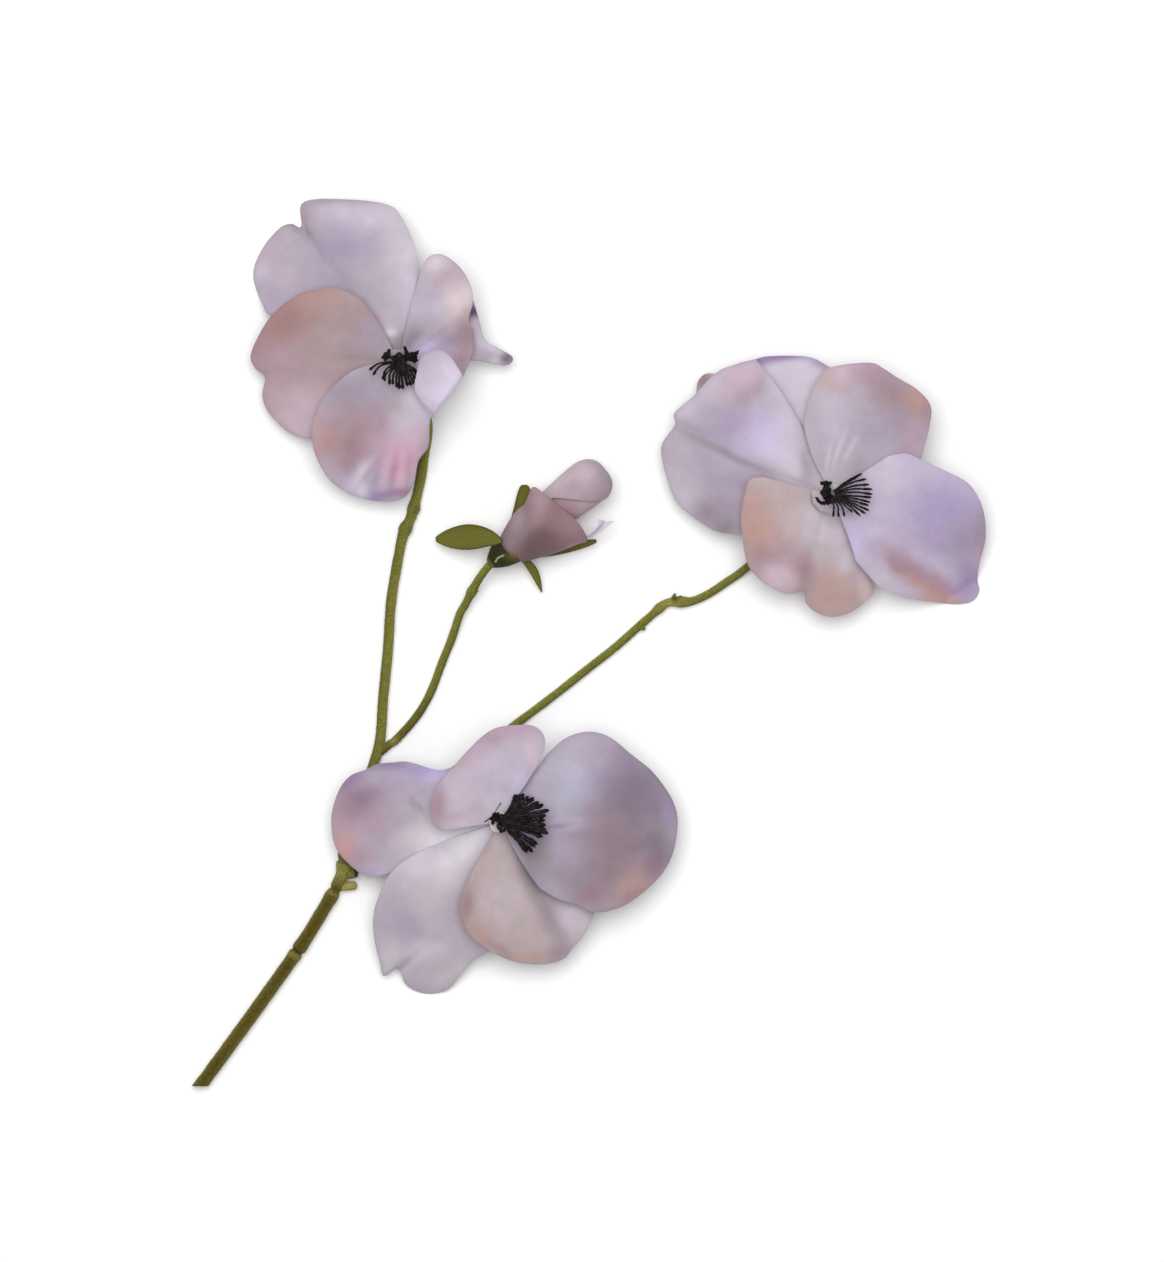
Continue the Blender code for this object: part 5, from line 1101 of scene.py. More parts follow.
def petal_surface(bloom, layer, spec, rows, columns):
    """Middle surface of a petal and its place before folding, in plan from the bloom's centre.

    Straight fan lines run from the claw arc to the rim curve. Their height gains the arch, 6.75 times
    share squared times what is left, and loses each crease, a bell curve across the petal."""
    x, y, cup_top = BLOOMS[bloom]
    rim = [(x + reach * math.cos(math.radians(bearing)), y + reach * math.sin(math.radians(bearing)), z)
           for bearing, reach, z in spec["rim"]]
    rim = evenly_along(rim, columns + 1)
    first, last = (math.radians(spec["rim"][k][0]) for k in (0, -1))
    turn = np.linspace(first, last, columns + 1)
    claw = np.stack([x + CLAW_RADIUS * np.cos(turn), y + CLAW_RADIUS * np.sin(turn),
                     np.full(columns + 1, cup_top + FIRST_CLAW_LEVEL + CLAW_STEP * layer)], axis=1)
    s = np.linspace(0, 1, rows + 1)[:, None]
    t = np.linspace(0, 1, columns + 1)[None]
    calm = calmed(rim, RIM_CALM * columns)
    grid = claw[None] + s[..., None] * (calm + (rim - calm) * s[..., None] ** 2.5 - claw)
    sides = rim[[0, -1], :2] - claw[[0, -1], :2]
    sides /= np.linalg.norm(sides, axis=1)[:, None]
    sign = 1.0 if last > first else -1.0
    bulges = ((0, -sign * spec["bulge"][0], (1 - t) ** 3), (1, sign * spec["bulge"][1], t ** 3))
    for side, bulge, share in bulges:
        outward = np.array([-sides[side][1], sides[side][0]])
        grid[..., :2] += (bulge * 4 * s * (1 - s) * share)[..., None] * outward
    grid[..., 2] += spec["arch"] * 6.75 * s ** 2 * (1 - s) * (0.35 + 0.65 * np.sin(math.pi * t))
    creases = FOLDS[bloom].get(layer, []) + ([spec["crease"]] if "crease" in spec else [])
    for place, depth, width in creases:
        grid[..., 2] -= depth * np.exp(-((t - place) / width) ** 2) * s * (1.3 - s)
    flat = grid[..., :2] - np.array([x, y])
    wander = ripples(flat[..., 0], flat[..., 1], 20 * layer + len(bloom), RIPPLE_SIZE)
    grid[..., 2] += RIPPLE_HEIGHT * wander * s ** 1.5
    if spec.get("fold"):
        grid = folded(grid, (x, y))
    grid[..., 2] = np.maximum(grid[..., 2], PRESSED_SHARE * PETAL_THICKNESS)
    return drawn_in(grid), flat, s + 0 * t, t + 0 * s


class SPRAY_OT_petals(bpy.types.Operator):
    """Make the fifteen petals of the open blooms"""

    bl_idname = "spray.make_petals"
    bl_label = "Petals"

    def execute(self, context):
        settings = context.scene.spray_petals
        palette = palette_of(settings)
        material = petal_material("petal_satin", settings)
        for bloom, petals in PETALS.items():
            for layer, (place, spec) in enumerate(petals.items()):
                more = FOLD_MORE if spec.get("fold") else 1.0
                rows, columns = int(settings.rows * more), int(settings.columns * more)
                grid, flat, s, t = petal_surface(bloom, layer, spec, rows, columns)
                rim = np.minimum(1, np.minimum(SIDE_RIM * np.minimum(t, 1 - t), 1 - s) / RIM_SHARE)
                colours = self.tones(bloom, place, layer, flat, s, t, palette, settings.depth)
                colours *= (0.9 + 0.1 * rim)[..., None] * settings.lift
                thick = settings.rim_thickness + (settings.thickness - settings.rim_thickness) * rim
                node_name = f"{bloom}_bloom_petal_{place}"
                add_sheet(f"{node_name}_satin", grid, thick / MM, material, [node_name],
                          np.clip(colours, 0, 1), flat)
        return {"FINISHED"}

    @staticmethod
    def tones(bloom, place, layer, flat, s, t, palette, depth):
        """The petal's marks, set off from the mean lilac by the depth, times warm ripples and the painted
        shade of fine pleats, which runs from claw to rim and fades at both."""
        base, marks = PAINT[bloom, place]
        colours = mixed(base, [THROAT_SHADE, *marks], flat[..., 0], flat[..., 1], palette, layer)
        colours = palette["lilac_mean"] + (colours - palette["lilac_mean"]) * depth
        warm = ripples(flat[..., 0], flat[..., 1], WARM_SEED + layer, 5)[..., None]
        # Painted shade of fine pleats: faint streaks that run from claw to rim.
        pleat_shade = (ripples(60 * t, 5 * s, PLEAT_SEED + layer, 4) * np.minimum(1, 3 * s * (1 - s)))[..., None]
        return colours * (1 + warm * np.array(WARM_RIPPLE) + PLEAT_SHADE * pleat_shade)


class SPRAY_OT_sepals(bpy.types.Operator):
    """Make the five-pointed sepal star and the calyx cup under each bloom"""

    bl_idname = "spray.make_sepals"
    bl_label = "Sepals and Cups"

    def execute(self, context):
        settings = context.scene.spray_greens
        palette = palette_of(settings)
        woven = sepal_material("sepal_weave", settings)
        flocked = flock_material("cup_flock", settings, CUP_ROUGHNESS)
        for bloom in BLOOMS:
            self.make_star(bloom, palette, woven)
            self.make_cup(bloom, palette, flocked)
        return {"FINISHED"}

    @staticmethod
    def make_star(bloom, palette, woven):
        """A level star whose reach follows the cosine of two and a half turns to the power 1.5. Past its
        flat middle it droops evenly, and its ribs, a cosine of five turns, grow as the square of the way
        out."""
        x, y, cup_top = BLOOMS[bloom]
        turn = turns(STAR_SIDES)
        reach = STAR_CORE + (STAR_REACH - STAR_CORE) * np.abs(np.cos(2.5 * turn)) ** 1.5
        s = np.linspace(0, 1, STAR_ROWS)[:, None]
        out = s * reach[None]
        drop = STAR_DROOP * np.maximum(out - STAR_FLAT, 0) / (STAR_REACH - STAR_FLAT)
        rib = STAR_RIB * np.cos(5 * turn)[None] * s ** 2
        grid = np.stack([x + out * np.cos(turn), y + out * np.sin(turn), cup_top + STAR_LEVEL - drop + rib],
                        axis=2)
        share = (s + 0 * out)[..., None]
        colours = palette["leaf"] + (palette["leaf_rim"] - palette["leaf"]) * share ** 6
        flat = grid[..., :2] - np.array([x, y])
        add_sheet(f"{bloom}_bloom_sepals_woven", drawn_in(grid), np.full(out.shape, SEPAL_THICKNESS), woven,
                  [f"{bloom}_bloom_sepals"], colours, flat, True)

    @staticmethod
    def make_cup(bloom, palette, flocked):
        """A tube along the end of the branch, which widens as the sine of a quarter turn."""
        route, radius, _, across, _, _ = BRANCHES[bloom]
        fine = fine_line(route)
        share = np.linspace(0, 1, CUP_ROWS)
        points = drawn_in(read_at(fine, lengths_along(fine)[-1] - CUP_LENGTH * (1 - share)))
        radii = radius + (CUP_TOP_RADIUS - radius) * np.sin(share * math.pi / 2) ** 1.3
        rings, _ = tube(points, radii, CUP_SIDES, across)
        verts, faces = closed_tube(rings, points[0], points[-1])
        add_piece(f"{bloom}_bloom_cup_flocked", verts, faces, flocked, [f"{bloom}_bloom_cup"],
                  np.tile(palette["deep_green"], (len(verts), 1)))


class SPRAY_OT_centres(bpy.types.Operator):
    """Make the pale throat and the tuft of black stamens of each bloom"""

    bl_idname = "spray.make_centres"
    bl_label = "Throats and Stamens"

    def execute(self, context):
        settings = context.scene.spray_centres
        threads_look = thread_material(settings)
        cream = throat_material()
        for bloom in BLOOMS:
            self.make_throat(bloom, np.array(settings.cream), cream)
            self.make_tuft(bloom, settings, threads_look)
        return {"FINISHED"}

    @staticmethod
    def make_throat(bloom, tone, look):
        """A flared pin: a profile of radius against height turned all the way round, with five waves near its
        top, darker in the middle by a bell curve of the distance, which is painted shade under the tuft."""
        base = drawn_in(BLOOMS[bloom])
        turn = turns(FLARE_SIDES)
        profile = smooth_through(FLARE_PROFILE, np.linspace(0, len(FLARE_PROFILE) - 1, FLARE_ROWS))
        radius, height = profile[:, :1], profile[:, 1:]
        wave = 1 + 0.05 * np.sin(5 * turn + BLOOMS[bloom][2])[None] * np.clip(height - 6.5, 0, 1)
        rings = np.stack([base[0] + radius * wave * np.cos(turn), base[1] + radius * wave * np.sin(turn),
                          base[2] + height + 0 * wave], axis=2)
        verts, faces = closed_tube(rings, base + [0, 0, PIN_FOOT], base + [0, 0, FLARE_TOP])
        # Painted shade: the pin is darker under the tuft, and darker or lighter by its bloom's throat tone.
        near = np.exp(-((verts[:, 0] - base[0]) ** 2 + (verts[:, 1] - base[1]) ** 2) / 1.8 ** 2)
        colours = tone * (THROAT_TONES[bloom] * (1 - 0.5 * near))[:, None]
        add_piece(f"{bloom}_bloom_throat", verts, faces, look, [f"{bloom}_bloom_centre"],
                  colours)

    @staticmethod
    def make_tuft(bloom, settings, look):
        """Threads on curves through a start, a bend and a tip, with clubbed ends and a rough skin, and
        lumps, each a dome whose radius carries waves round and up."""
        x, y, cup_top = BLOOMS[bloom]
        level = cup_top + TUFT_LEVEL
        rng = np.random.default_rng(len(bloom))
        share = np.linspace(0, 1, THREAD_ROWS)
        parts = []
        for number, (bend_x, bend_y, tip_x, tip_y, thick) in enumerate(THREADS[bloom]):
            lift = level + THREAD_STEP * (number % 4)
            path = smooth_through([(x + 0.2 * bend_x, y + 0.2 * bend_y, lift),
                                   (x + bend_x, y + bend_y, lift + THREAD_BEND_LIFT),
                                   (x + tip_x, y + tip_y, lift - FILAMENT_DROP[bloom])], share * 2)
            club = CLUB_SIZE * np.exp(-((share - CLUB_PLACE) / CLUB_LENGTH) ** 2)
            rough = 1 + THREAD_ROUGHNESS * rng.standard_normal((len(share), settings.sides))
            radii = settings.thread / MM * thick * (1 + club) * np.where(share > 0.98, THREAD_TIP, 1)
            path = drawn_in(path)
            rings, tangent = tube(path, radii[:, None] * rough, settings.sides, (0, 0, 1))
            parts.append(closed_tube(rings, path[0], path[-1] + 0.2 * tangent[-1]))
        turn = turns(LUMP_SIDES)[None]
        climb = np.linspace(0.06, math.pi - 0.06, LUMP_ROWS)[:, None]
        for number, (lump_x, lump_y, long, wide, heading) in enumerate(LUMPS[bloom]):
            wave = 1 + 0.16 * np.sin(5 * turn + number) * np.sin(climb)
            wave += 0.12 * np.sin(9 * turn) * np.sin(2 * climb)
            cosine, sine = math.cos(math.radians(heading)), math.sin(math.radians(heading))
            middle = drawn_in([x + lump_x, y + lump_y, level])
            u = long * wave * np.sin(climb) * np.cos(turn)
            v = wide * wave * np.sin(climb) * np.sin(turn)
            tall = min(TUFT_HEIGHT, 0.8 * wide)
            rings = np.stack([middle[0] + u * cosine - v * sine, middle[1] + u * sine + v * cosine,
                              middle[2] - tall * wave * np.cos(climb)], axis=2)
            parts.append(closed_tube(rings, middle - [0, 0, tall], middle + [0, 0, tall]))
        verts, faces = together(parts)
        add_piece(f"{bloom}_bloom_tuft", verts, faces, look, [f"{bloom}_bloom_stamens"])


class SPRAY_OT_stems(bpy.types.Operator):
    """Make the flocked main stem and its branches"""

    bl_idname = "spray.make_stems"
    bl_label = "Stems"

    def execute(self, context):
        settings = context.scene.spray_greens
        self.palette = palette_of(settings)
        self.material = flock_material("stem_flock", settings, STEM_ROUGHNESS)
        for name, (route, radius, nodes, across, lead_in, short) in BRANCHES.items():
            fine = fine_line([*lead_in, *route])
            total = lengths_along(fine)[-1] - short
            lead = lengths_along(fine_line([*lead_in, route[0]]))[-1]
            places = np.linspace(0, total, int(total / BRANCH_STEP))
            points = read_at(fine, places)
            places -= lead
            radii = swollen(places, BRANCH_FULLNESS * radius, nodes)
            points[:, 2] = np.maximum(points[:, 2], radii)
            self.make_branch(f"{name}_branch", points, radii, places, across)
        self.make_main()
        return {"FINISHED"}

    @staticmethod
    def flocked_rings(points, radii, across, sides, seed):
        """Rings whose radius carries a grain of a fiftieth and slow lumps of a thirtieth."""
        rng = np.random.default_rng(seed)
        grain = 1 + 0.02 * rng.standard_normal((len(points), sides))
        slow = 1 + 0.03 * ripples(np.arange(len(points))[:, None] * 0.4, 0 * grain, seed, 5)
        return tube(points, radii[:, None] * grain * slow, sides, across)

    def add_marks(self, colours, along, marks, scar_share=1):
        """Tint a stem at its marks, each a bell curve of the place along it."""
        for name, place, half, strength in marks:
            share = strength * np.exp(-((along - place) / half) ** 2)
            tint(colours, share * scar_share if name == "scar" else share, self.palette[name])

    def make_branch(self, node_name, points, radii, places, across):
        """A tube along the branch with torn nubs. Its lit flank is paler by the square of the sine of the
        turn, a painted highlight, and the other one browner, painted shade, and slow ripples along it brown
        it too."""
        rings, tangent = self.flocked_rings(drawn_in(points), radii, across, BRANCH_SIDES, len(node_name))
        on_table(rings)
        ends = drawn_in(points[[0, -1]])
        parts = [closed_tube(rings, ends[0] - 0.3 * tangent[0], ends[1] + 0.3 * tangent[-1])]
        along = [np.repeat(places, BRANCH_SIDES), places[[0, -1]]]
        for place, side, long, radius in NUBS.get(node_name, []):
            index = np.argmin(np.abs(places - place))
            foot, heading = drawn_in(points[index]), tangent[index]
            out = np.array([-heading[1], heading[0], 0]) * side
            reach = out + NUB_LEAN * heading + [0, 0, NUB_RISE]
            line = foot + np.linspace(0, 1, NUB_ROWS)[:, None] * long * reach
            thin = radius * np.linspace(1.1, 0.55, NUB_ROWS)
            rings, ahead = self.flocked_rings(line, thin, (0, 0, 1), NUB_SIDES, NUB_SEED + int(place))
            on_table(rings)
            parts.append(closed_tube(rings, line[0], line[-1] + 0.2 * ahead[-1]))
            along.append(np.full(len(parts[-1][0]), place))
        verts, faces = together(parts)
        along = np.concatenate(along)
        palette = self.palette
        colours = np.tile(palette["olive"], (len(verts), 1))
        tint(colours, 0.25 * np.maximum(ripples(along, 0 * along, 7, 14), 0), palette["brown_olive"])
        flank = LIT_FLANKS[node_name] * np.tile(np.sin(turns(BRANCH_SIDES)), len(places))
        skin = colours[:len(flank)]
        tint(skin, 0.6 * np.clip(flank, 0, 1) ** 2, palette["pale_olive"])
        tint(skin, 0.5 * np.clip(-flank, 0, 1) ** 2, palette["brown_olive"])
        # Scars show less on the shaded flank: painted shade.
        scar_share = np.ones(len(verts))
        scar_share[:len(flank)] = np.clip(0.35 + 0.9 * flank, 0, 1)
        self.add_marks(colours, along, BRANCH_MARKS[node_name], scar_share)
        add_piece(f"{node_name}_flocked", verts, faces, self.material, [node_name], colours)

    def make_main(self):
        """The main stem starts at a straight cut, steps in at its joint and swells at the fork, where two
        stubs stand. Its first ring is slid along the stem on to the plane of the cut."""
        palette = self.palette
        fine = fine_line(MAIN_ROUTE)
        total = lengths_along(fine)[-1]
        cut = np.interp(MAIN_CUT_Y, fine[:, 1], lengths_along(fine))
        places = np.linspace(cut + 1.4, total, int((total - cut) / MAIN_STEP))
        places = np.concatenate([[cut], places])
        points = read_at(fine, places)
        radii = swollen(places, MAIN_RADIUS, MAIN_SWELLS)
        points[:, 2] = np.maximum(points[:, 2], radii)
        points = drawn_in(points)
        rings, tangent = self.flocked_rings(points, radii, (1, -1, 0), MAIN_SIDES, MAIN_SEED)
        slide = (points[0, 1] - rings[0, :, 1]) / tangent[0, 1]
        rings[0] += slide[:, None] * tangent[0]
        on_table(rings)
        parts = [closed_tube(rings, points[0], points[-1] + 0.6 * tangent[-1])]
        along = np.concatenate([np.repeat(places, MAIN_SIDES), places[[0, -1]]])
        colours = np.tile(palette["brown_olive"], (len(along), 1))
        tint(colours, 0.2 * np.maximum(ripples(along, 0 * along, 8, 25), 0), palette["olive"])
        # Painted sheen: both edges of the stem as seen from above are paler, as flock looks at a grazing
        # angle.
        flank = np.tile(np.sin(turns(MAIN_SIDES)) ** 2, len(places))
        tint(colours[:len(flank)], 0.35 * flank, palette["pale_olive"])
        self.add_marks(colours, along, MAIN_MARKS)
        paints = [colours]
        for number, (start, end, radius, tone, end_tone) in enumerate(STUBS):
            line = drawn_in(np.linspace(start, end, STUB_ROWS))
            bulge = radius * (1 + STUB_FULLNESS * np.sin(np.linspace(0, 3.0, STUB_ROWS)))
            rings, tangent = self.flocked_rings(line, bulge, (0, 1, 0), STUB_SIDES, STUB_SEED + number)
            on_table(rings)
            parts.append(closed_tube(rings, line[0], line[-1] + 0.35 * tangent[-1]))
            tones = np.tile(palette[tone], (len(parts[-1][0]), 1))
            tones[(STUB_ROWS - 2) * STUB_SIDES:] = palette[end_tone]
            paints.append(tones)
        verts, faces = together(parts)
        add_piece("main_stem_flocked", verts, faces, self.material, ["main_stem"],
                  np.concatenate(paints), weld=True)


def bud_frame():
    """The bud's base point and its axis, left-hand and upward directions."""
    bearing = math.radians(BUD_BEARING)
    along = np.array([math.cos(bearing), math.sin(bearing), 0.0])
    left = np.array([-math.sin(bearing), math.cos(bearing), 0.0])
    return np.array(BUD_BASE), along, left, np.array([0.0, 0.0, 1.0])


def in_bud(u, left_offset, up_offset):
    """World plan points from distances along the bud's axis, to its left and up."""
    base, along, left, up = bud_frame()
    return base + u[..., None] * along + left_offset[..., None] * left + up_offset[..., None] * up


def blade_surface(spine, half_widths, tilts, rows, columns):
    """A blade whose width crosses its spine level, turned about the spine by each tilt, with a slight
    trough of a quarter of the width."""
    widths = np.interp(np.linspace(0, 1, rows), np.linspace(0, 1, len(half_widths)), half_widths)
    tilt = np.radians(np.interp(np.linspace(0, 1, rows), np.linspace(0, 1, len(tilts)), tilts))[:, None]
    spine = evenly_along(spine, rows)
    forward = np.gradient(spine, axis=0)
    forward /= np.linalg.norm(forward, axis=1)[:, None]
    level = np.cross(np.array([0.0, 0.0, 1.0]), forward)
    level /= np.linalg.norm(level, axis=1)[:, None]
    upright = np.cross(forward, level)
    across = level * np.cos(tilt) + upright * np.sin(tilt)
    v = np.linspace(-1, 1, columns)[None, :, None]
    width = widths[:, None, None]
    grid = spine[:, None] + v * width * across[:, None] + 0.25 * v ** 2 * width * upright[:, None]
    along = lengths_along(spine)[:, None] + 0 * v[..., 0]
    return grid, np.stack([v[..., 0] * widths[:, None], along], axis=-1)


class SPRAY_OT_bud(bpy.types.Operator):
    """Make the bud: wrapped petal, rolled petal, heart, back strip, loose sepals and cup"""

    bl_idname = "spray.make_bud"
    bl_label = "Bud"

    def execute(self, context):
        settings = context.scene.spray_petals
        self.satin = petal_material("bud_satin", settings)
        self.palette = palette_of(settings)
        self.make_outer()
        self.make_inner()
        self.make_heart()
        self.make_strip()
        self.make_greens(context.scene.spray_greens)
        return {"FINISHED"}

    def add_petal(self, node_name, grid, colours, flat):
        """A thin sheet of bud satin that stands for its node, thinner at its rim."""
        thick = np.full(grid.shape[:2], BUD_THICKNESS)
        thick[0] = thick[-1] = BUD_RIM_THICKNESS
        thick[:, 0] = thick[:, -1] = BUD_RIM_THICKNESS
        add_sheet(f"{node_name}_satin", drawn_in(grid), thick, self.satin, [node_name],
                  np.clip(colours, 0, 1), flat)

    def make_outer(self):
        """A cone round the axis whose radius grows as the root of its length, open below, with a lip that
        turns out past nine tenths of it, drawn in at its waist by a bell curve."""
        table = np.array(BUD_OUTER_RIM, dtype=float)
        degrees = np.linspace(table[0, 0], table[-1, 0], BUD_SHEET_COLUMNS)
        edge = evenly_along(table, BUD_RIM_POINTS)
        edge = np.interp(degrees, edge[:, 0], edge[:, 1])
        s = np.linspace(0, 1, BUD_OUTER_ROWS)[:, None]
        u = BUD_OUTER_START + s * (edge[None] - BUD_OUTER_START)
        turn = np.radians(degrees)[None] + 0 * u
        radius = (BUD_OUTER_SPREAD - BUD_OUTER_LEAN * np.cos(turn)) * np.sqrt(u)
        radius += BUD_LIP * np.maximum(s - 0.9, 0) * 10
        waist = BUD_WAIST * np.exp(-((u - BUD_WAIST_PLACE) / BUD_WAIST_LENGTH) ** 2)
        radius -= waist * np.clip(np.cos(turn), 0, 1) ** 2
        sideways = radius * np.cos(turn)
        grid = in_bud(u, sideways, radius * BUD_FLATTENING * np.sin(turn))
        colours = mixed("bud_rose", BUD_OUTER_PAINT, u, sideways, self.palette)
        colours *= (1 - 0.12 * (s > 0.985))[..., None]
        self.add_petal("bud_petal_outer", grid, colours, np.stack([sideways, u], axis=-1))

    def make_inner(self):
        """The rolled petal: a profile of radius against length, turned from its start to the seam, along
        which it is darker."""
        profile = evenly_along(BUD_ROLL, BUD_ROLL_ROWS)
        u = profile[:, :1]
        slope = (BUD_SEAM_HIGH[1] - BUD_SEAM_LOW[1]) / (BUD_SEAM_HIGH[0] - BUD_SEAM_LOW[0])
        seam = np.clip(BUD_SEAM_LOW[1] + slope * (u - BUD_SEAM_LOW[0]), *BUD_SEAM_LIMITS)
        t = np.linspace(0, 1, BUD_SHEET_COLUMNS)[None]
        turn = np.radians(BUD_ROLL_START + t * (seam - BUD_ROLL_START))
        radius = profile[:, 1:] + 0 * turn
        along = u + 0 * turn
        sideways = radius * np.cos(turn)
        grid = in_bud(along, BUD_ROLL_OFFSET + sideways, radius * BUD_ROLL_FLATTENING * np.sin(turn))
        colours = mixed("bud_soft", BUD_INNER_PAINT, along, sideways, self.palette, 3)
        colours *= (1 - 0.18 * np.exp(-((1 - t) / 0.012) ** 2) + 0 * along)[..., None]
        self.add_petal("bud_petal_inner", grid, colours, np.stack([radius * turn, along], axis=-1))

    def make_heart(self):
        """The closed heart: a profile of radius against length turned all the way round."""
        profile = evenly_along(BUD_HEART, BUD_HEART_ROWS)
        turn = turns(BUD_HEART_SIDES)[None]
        u = profile[1:-1, :1] + 0 * turn
        sideways = profile[1:-1, 1:] * np.cos(turn)
        rings = in_bud(u, BUD_ROLL_OFFSET + sideways, profile[1:-1, 1:] * BUD_ROLL_FLATTENING * np.sin(turn))
        ends = in_bud(profile[[0, -1], 0], np.full(2, BUD_ROLL_OFFSET), np.zeros(2))
        verts, faces = closed_tube(drawn_in(rings), *drawn_in(ends))
        flat = np.stack([np.concatenate([u.reshape(-1), profile[[0, -1], 0]]),
                         np.concatenate([sideways.reshape(-1), [0, 0]])], axis=1)
        colours = mixed("dusky_rose", BUD_HEART_PAINT, flat[:, 0], flat[:, 1], self.palette, 5)
        add_piece("bud_heart_satin", verts, faces, self.satin, ["bud_heart"], colours, flat)

    def make_strip(self):
        """The strip behind the bud, a blade whose end opens into a fork by the power 1.5 of the place
        along it: the left corner moves back and out, the right one on by three quarters as much, and a
        bell curve makes the notch between them."""
        strip = [in_bud(*(np.array(value) for value in point)) for point in BUD_STRIP_SPINE]
        grid, flat = blade_surface(strip, BUD_STRIP_HALF_WIDTHS, BUD_STRIP_TILTS, BUD_STRIP_ROWS,
                                   BUD_STRIP_COLUMNS)
        total = flat[-1, 0, 1]
        flare = np.clip(1 - (total - flat[:, :1, 1:]) / TAIL_LENGTH, 0, 1) ** 1.5
        v = np.linspace(-1, 1, BUD_STRIP_COLUMNS)[None, :, None]
        _, along, left, _ = bud_frame()
        back, out, notch = TAIL_FLARE
        corner = out * left - back * along
        grid += flare * (np.maximum(v, 0) * corner + np.maximum(-v, 0) * 0.75 * back * along)
        grid -= flare * notch * np.exp(-(v / 0.45) ** 2) * along
        colours = mixed("white_lilac", BUD_STRIP_PAINT, flat[..., 1], flat[..., 0], self.palette, 6)
        self.add_petal("bud_petal_back", grid, colours, flat)

    def make_greens(self, settings):
        """The four loose sepals and the cup of the bud."""
        palette = palette_of(settings)
        woven = sepal_material("bud_sepal_weave", settings)
        for place in BUD_SEPALS:
            self.make_sepal(place, palette, woven)
        self.make_cup(palette, flock_material("bud_cup_flock", settings, CUP_ROUGHNESS))

    @staticmethod
    def make_sepal(place, palette, woven):
        """A blade whose width is a power of a half wave. Its rim and its vein are darker."""
        spine, half_width, tilt = BUD_SEPALS[place]
        start, end, power, fuller = BUD_SEPAL_SHAPES[place]
        share = np.linspace(0, 1, BUD_SEPAL_ROWS)
        wave = np.sin(math.pi * (start + (end - start) * share)) ** power
        grid, flat = blade_surface(spine, fuller * half_width * np.clip(wave, 0.12, 1), [tilt, tilt],
                                   BUD_SEPAL_ROWS, BUD_SEPAL_COLUMNS)
        across = np.abs(np.linspace(-1, 1, BUD_SEPAL_COLUMNS))[None]
        rim = np.maximum(across ** 8, share[:, None] ** 30)[..., None]
        vein = np.exp(-(across / 0.08) ** 2)[..., None] * 0.25
        colours = palette["leaf"] + (palette["leaf_rim"] - palette["leaf"]) * np.clip(rim + vein, 0, 1)
        add_sheet(f"bud_sepal_{place}_woven", drawn_in(grid), np.full(grid.shape[:2], BUD_SEPAL_THICKNESS),
                  woven, [f"bud_sepal_{place}"], colours, flat)

    @staticmethod
    def make_cup(palette, flocked):
        """A tube along the bud's axis, which widens as the sine of a quarter turn and ends in a lip. Its
        front half gets fuller on the right. Its rim follows the square of the place across: it dips in
        the middle and runs on at both sides, most on the right. The stalk's tone fades away from its
        foot, a spot on its right is worn, and a run of dried glue lies on top."""
        share = np.linspace(0, 1, BUD_CUP_ROWS)
        u = -BUD_CUP_BACK + share * (BUD_CUP_BACK + BUD_CUP_FRONT + 1.0)
        points = drawn_in(in_bud(u, 0 * u, 0 * u))
        foot = BUD_RADIUS * 1.15
        radii = foot + (BUD_CUP_RADIUS + 0.35 - foot) * np.sin(share * math.pi / 2) ** 0.9
        radii[-3:] -= (0.05, 0.15, 0.5)
        rings, ahead = tube(points, radii, BUD_CUP_SIDES, (0, 0, 1))
        _, along, left, _ = bud_frame()
        ramp = np.clip((share - 0.5) / 0.5, 0, 1)[:, None]
        side = (rings - points[:, None]) @ left / radii[:, None]
        rings += (0.06 * ramp * (1 - side))[..., None] * (rings - points[:, None])
        rings += (ramp * (1.2 * side ** 2 - 0.4 * side - 0.4))[..., None] * along
        verts, faces = closed_tube(rings, points[0], points[-1] - 0.8 * ahead[-1])
        colours = np.tile(palette["deep_green"], (len(verts), 1))
        from_foot = np.concatenate([np.repeat(share, BUD_CUP_SIDES), [0, 1]])
        tint(colours, np.clip(1 - from_foot * 6, 0, 1), palette["olive"])
        worn = np.exp(-((verts[:, 0] - WORN_SPOT[0]) / 2.2) ** 2 - ((verts[:, 1] - WORN_SPOT[1]) / 1.3) ** 2)
        tint(colours, 0.75 * worn, palette["leaf"])
        glue = evenly_along(GLUE_LINE, GLUE_POINTS)
        away = np.linalg.norm(verts[:, None, :2] - glue[None], axis=2).min(axis=1)
        drop = np.exp(-(away / GLUE_WIDTH) ** 4) * (verts[:, 2] > BUD_BASE[2])
        tint(colours, 0.6 * drop, palette["glue"])
        add_piece("bud_cup_flocked", verts, faces, flocked, ["bud_cup"], colours)


# The stage, in metres, but for the camera's sensor in millimetres.
TABLE_HALF = 4.0
KEY_SIZE = 1.5
KEY_PLACE = (-0.08, 0.32, 1.7)
SENSOR_WIDTH = 36
CLIP_END = 20


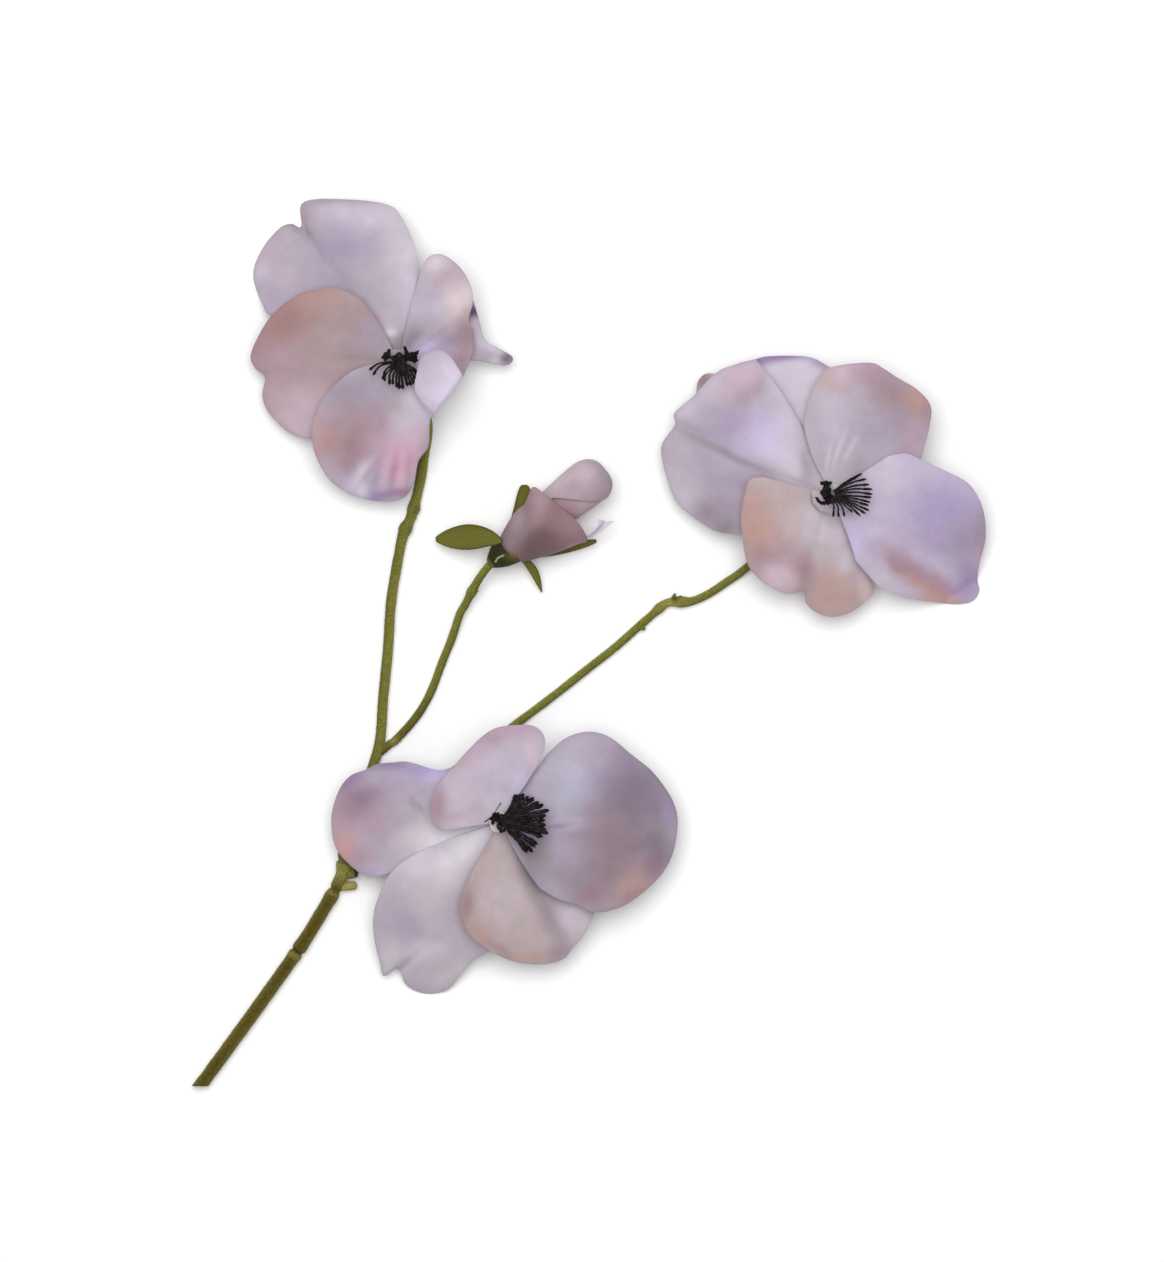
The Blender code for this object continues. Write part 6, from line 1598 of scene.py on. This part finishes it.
class SPRAY_OT_stage(bpy.types.Operator):
    """Make the pale table, the soft lights and the camera over the spray"""

    bl_idname = "spray.make_stage"
    bl_label = "Stage"

    def execute(self, context):
        scene = context.scene
        settings = scene.spray_stage
        corners = [(-TABLE_HALF, -TABLE_HALF, 0), (TABLE_HALF, -TABLE_HALF, 0), (TABLE_HALF, TABLE_HALF, 0),
                   (-TABLE_HALF, TABLE_HALF, 0)]
        mesh = bpy.data.meshes.new("table")
        mesh.from_pydata(corners, [], [(0, 1, 2, 3)])
        material, _, shader = new_material("table_matte", 0.9, 0.0, 0.2)
        shader.inputs["Base Color"].default_value = (*settings.floor, 1.0)
        mesh.materials.append(material)
        table = bpy.data.objects.new("table", mesh)
        scene.collection.objects.link(table)
        world = bpy.data.worlds.new("studio")
        world.use_nodes = True
        world.node_tree.nodes["Background"].inputs["Color"].default_value = (1, 1, 1, 1)
        world.node_tree.nodes["Background"].inputs["Strength"].default_value = settings.sky
        scene.world = world
        lamp = bpy.data.lights.new("key", "AREA")
        lamp.shape = "DISK"
        lamp.size = KEY_SIZE
        lamp.energy = settings.key_power
        key = bpy.data.objects.new("key", lamp)
        scene.collection.objects.link(key)
        key.location = KEY_PLACE
        key.rotation_euler = (-key.location).to_track_quat("-Z", "Y").to_euler()
        camera = bpy.data.cameras.new("camera")
        camera.lens = settings.lens
        camera.sensor_width = SENSOR_WIDTH
        camera.clip_end = CLIP_END
        view = bpy.data.objects.new("camera", camera)
        scene.collection.objects.link(view)
        view.location = ((VIEW_CENTRE[0] + PLAN_SHIFT[0]) * MM, (VIEW_CENTRE[1] + PLAN_SHIFT[1]) * MM,
                         VIEW_HEIGHT * MM)
        scene.camera = view
        scene.view_settings.view_transform = "Standard"
        scene.view_settings.look = "None"
        return {"FINISHED"}


class SPRAY_PT_panel(bpy.types.Panel):
    """Lists the makers of the spray's pieces"""

    bl_idname = "SPRAY_PT_panel"
    bl_label = "Pansy Spray"
    bl_space_type = "VIEW_3D"
    bl_region_type = "UI"
    bl_category = "Pansy Spray"

    def draw(self, context):
        for maker in MAKERS:
            self.layout.operator(maker.bl_idname)


SETTINGS = {"spray_petals": PetalSettings, "spray_greens": GreenSettings, "spray_centres": CentreSettings,
            "spray_stage": StageSettings}
MAKERS = (SPRAY_OT_stage, SPRAY_OT_petals, SPRAY_OT_sepals, SPRAY_OT_centres, SPRAY_OT_stems, SPRAY_OT_bud)


def register():
    """Register the settings, the makers and the panel, and put the settings on the scene."""
    for group in SETTINGS.values():
        bpy.utils.register_class(group)
    for maker in MAKERS:
        bpy.utils.register_class(maker)
    bpy.utils.register_class(SPRAY_PT_panel)
    for name, group in SETTINGS.items():
        setattr(bpy.types.Scene, name, PointerProperty(type=group))


def unregister():
    """Take the settings, the panel and the makers away again."""
    for name in SETTINGS:
        delattr(bpy.types.Scene, name)
    for item in (SPRAY_PT_panel, *reversed(MAKERS), *reversed(SETTINGS.values())):
        bpy.utils.unregister_class(item)


def main():
    """Make every piece."""
    register()
    bpy.ops.spray.make_stage()
    bpy.ops.spray.make_petals()
    bpy.ops.spray.make_sepals()
    bpy.ops.spray.make_centres()
    bpy.ops.spray.make_stems()
    bpy.ops.spray.make_bud()


if __name__ == "__main__":
    main()
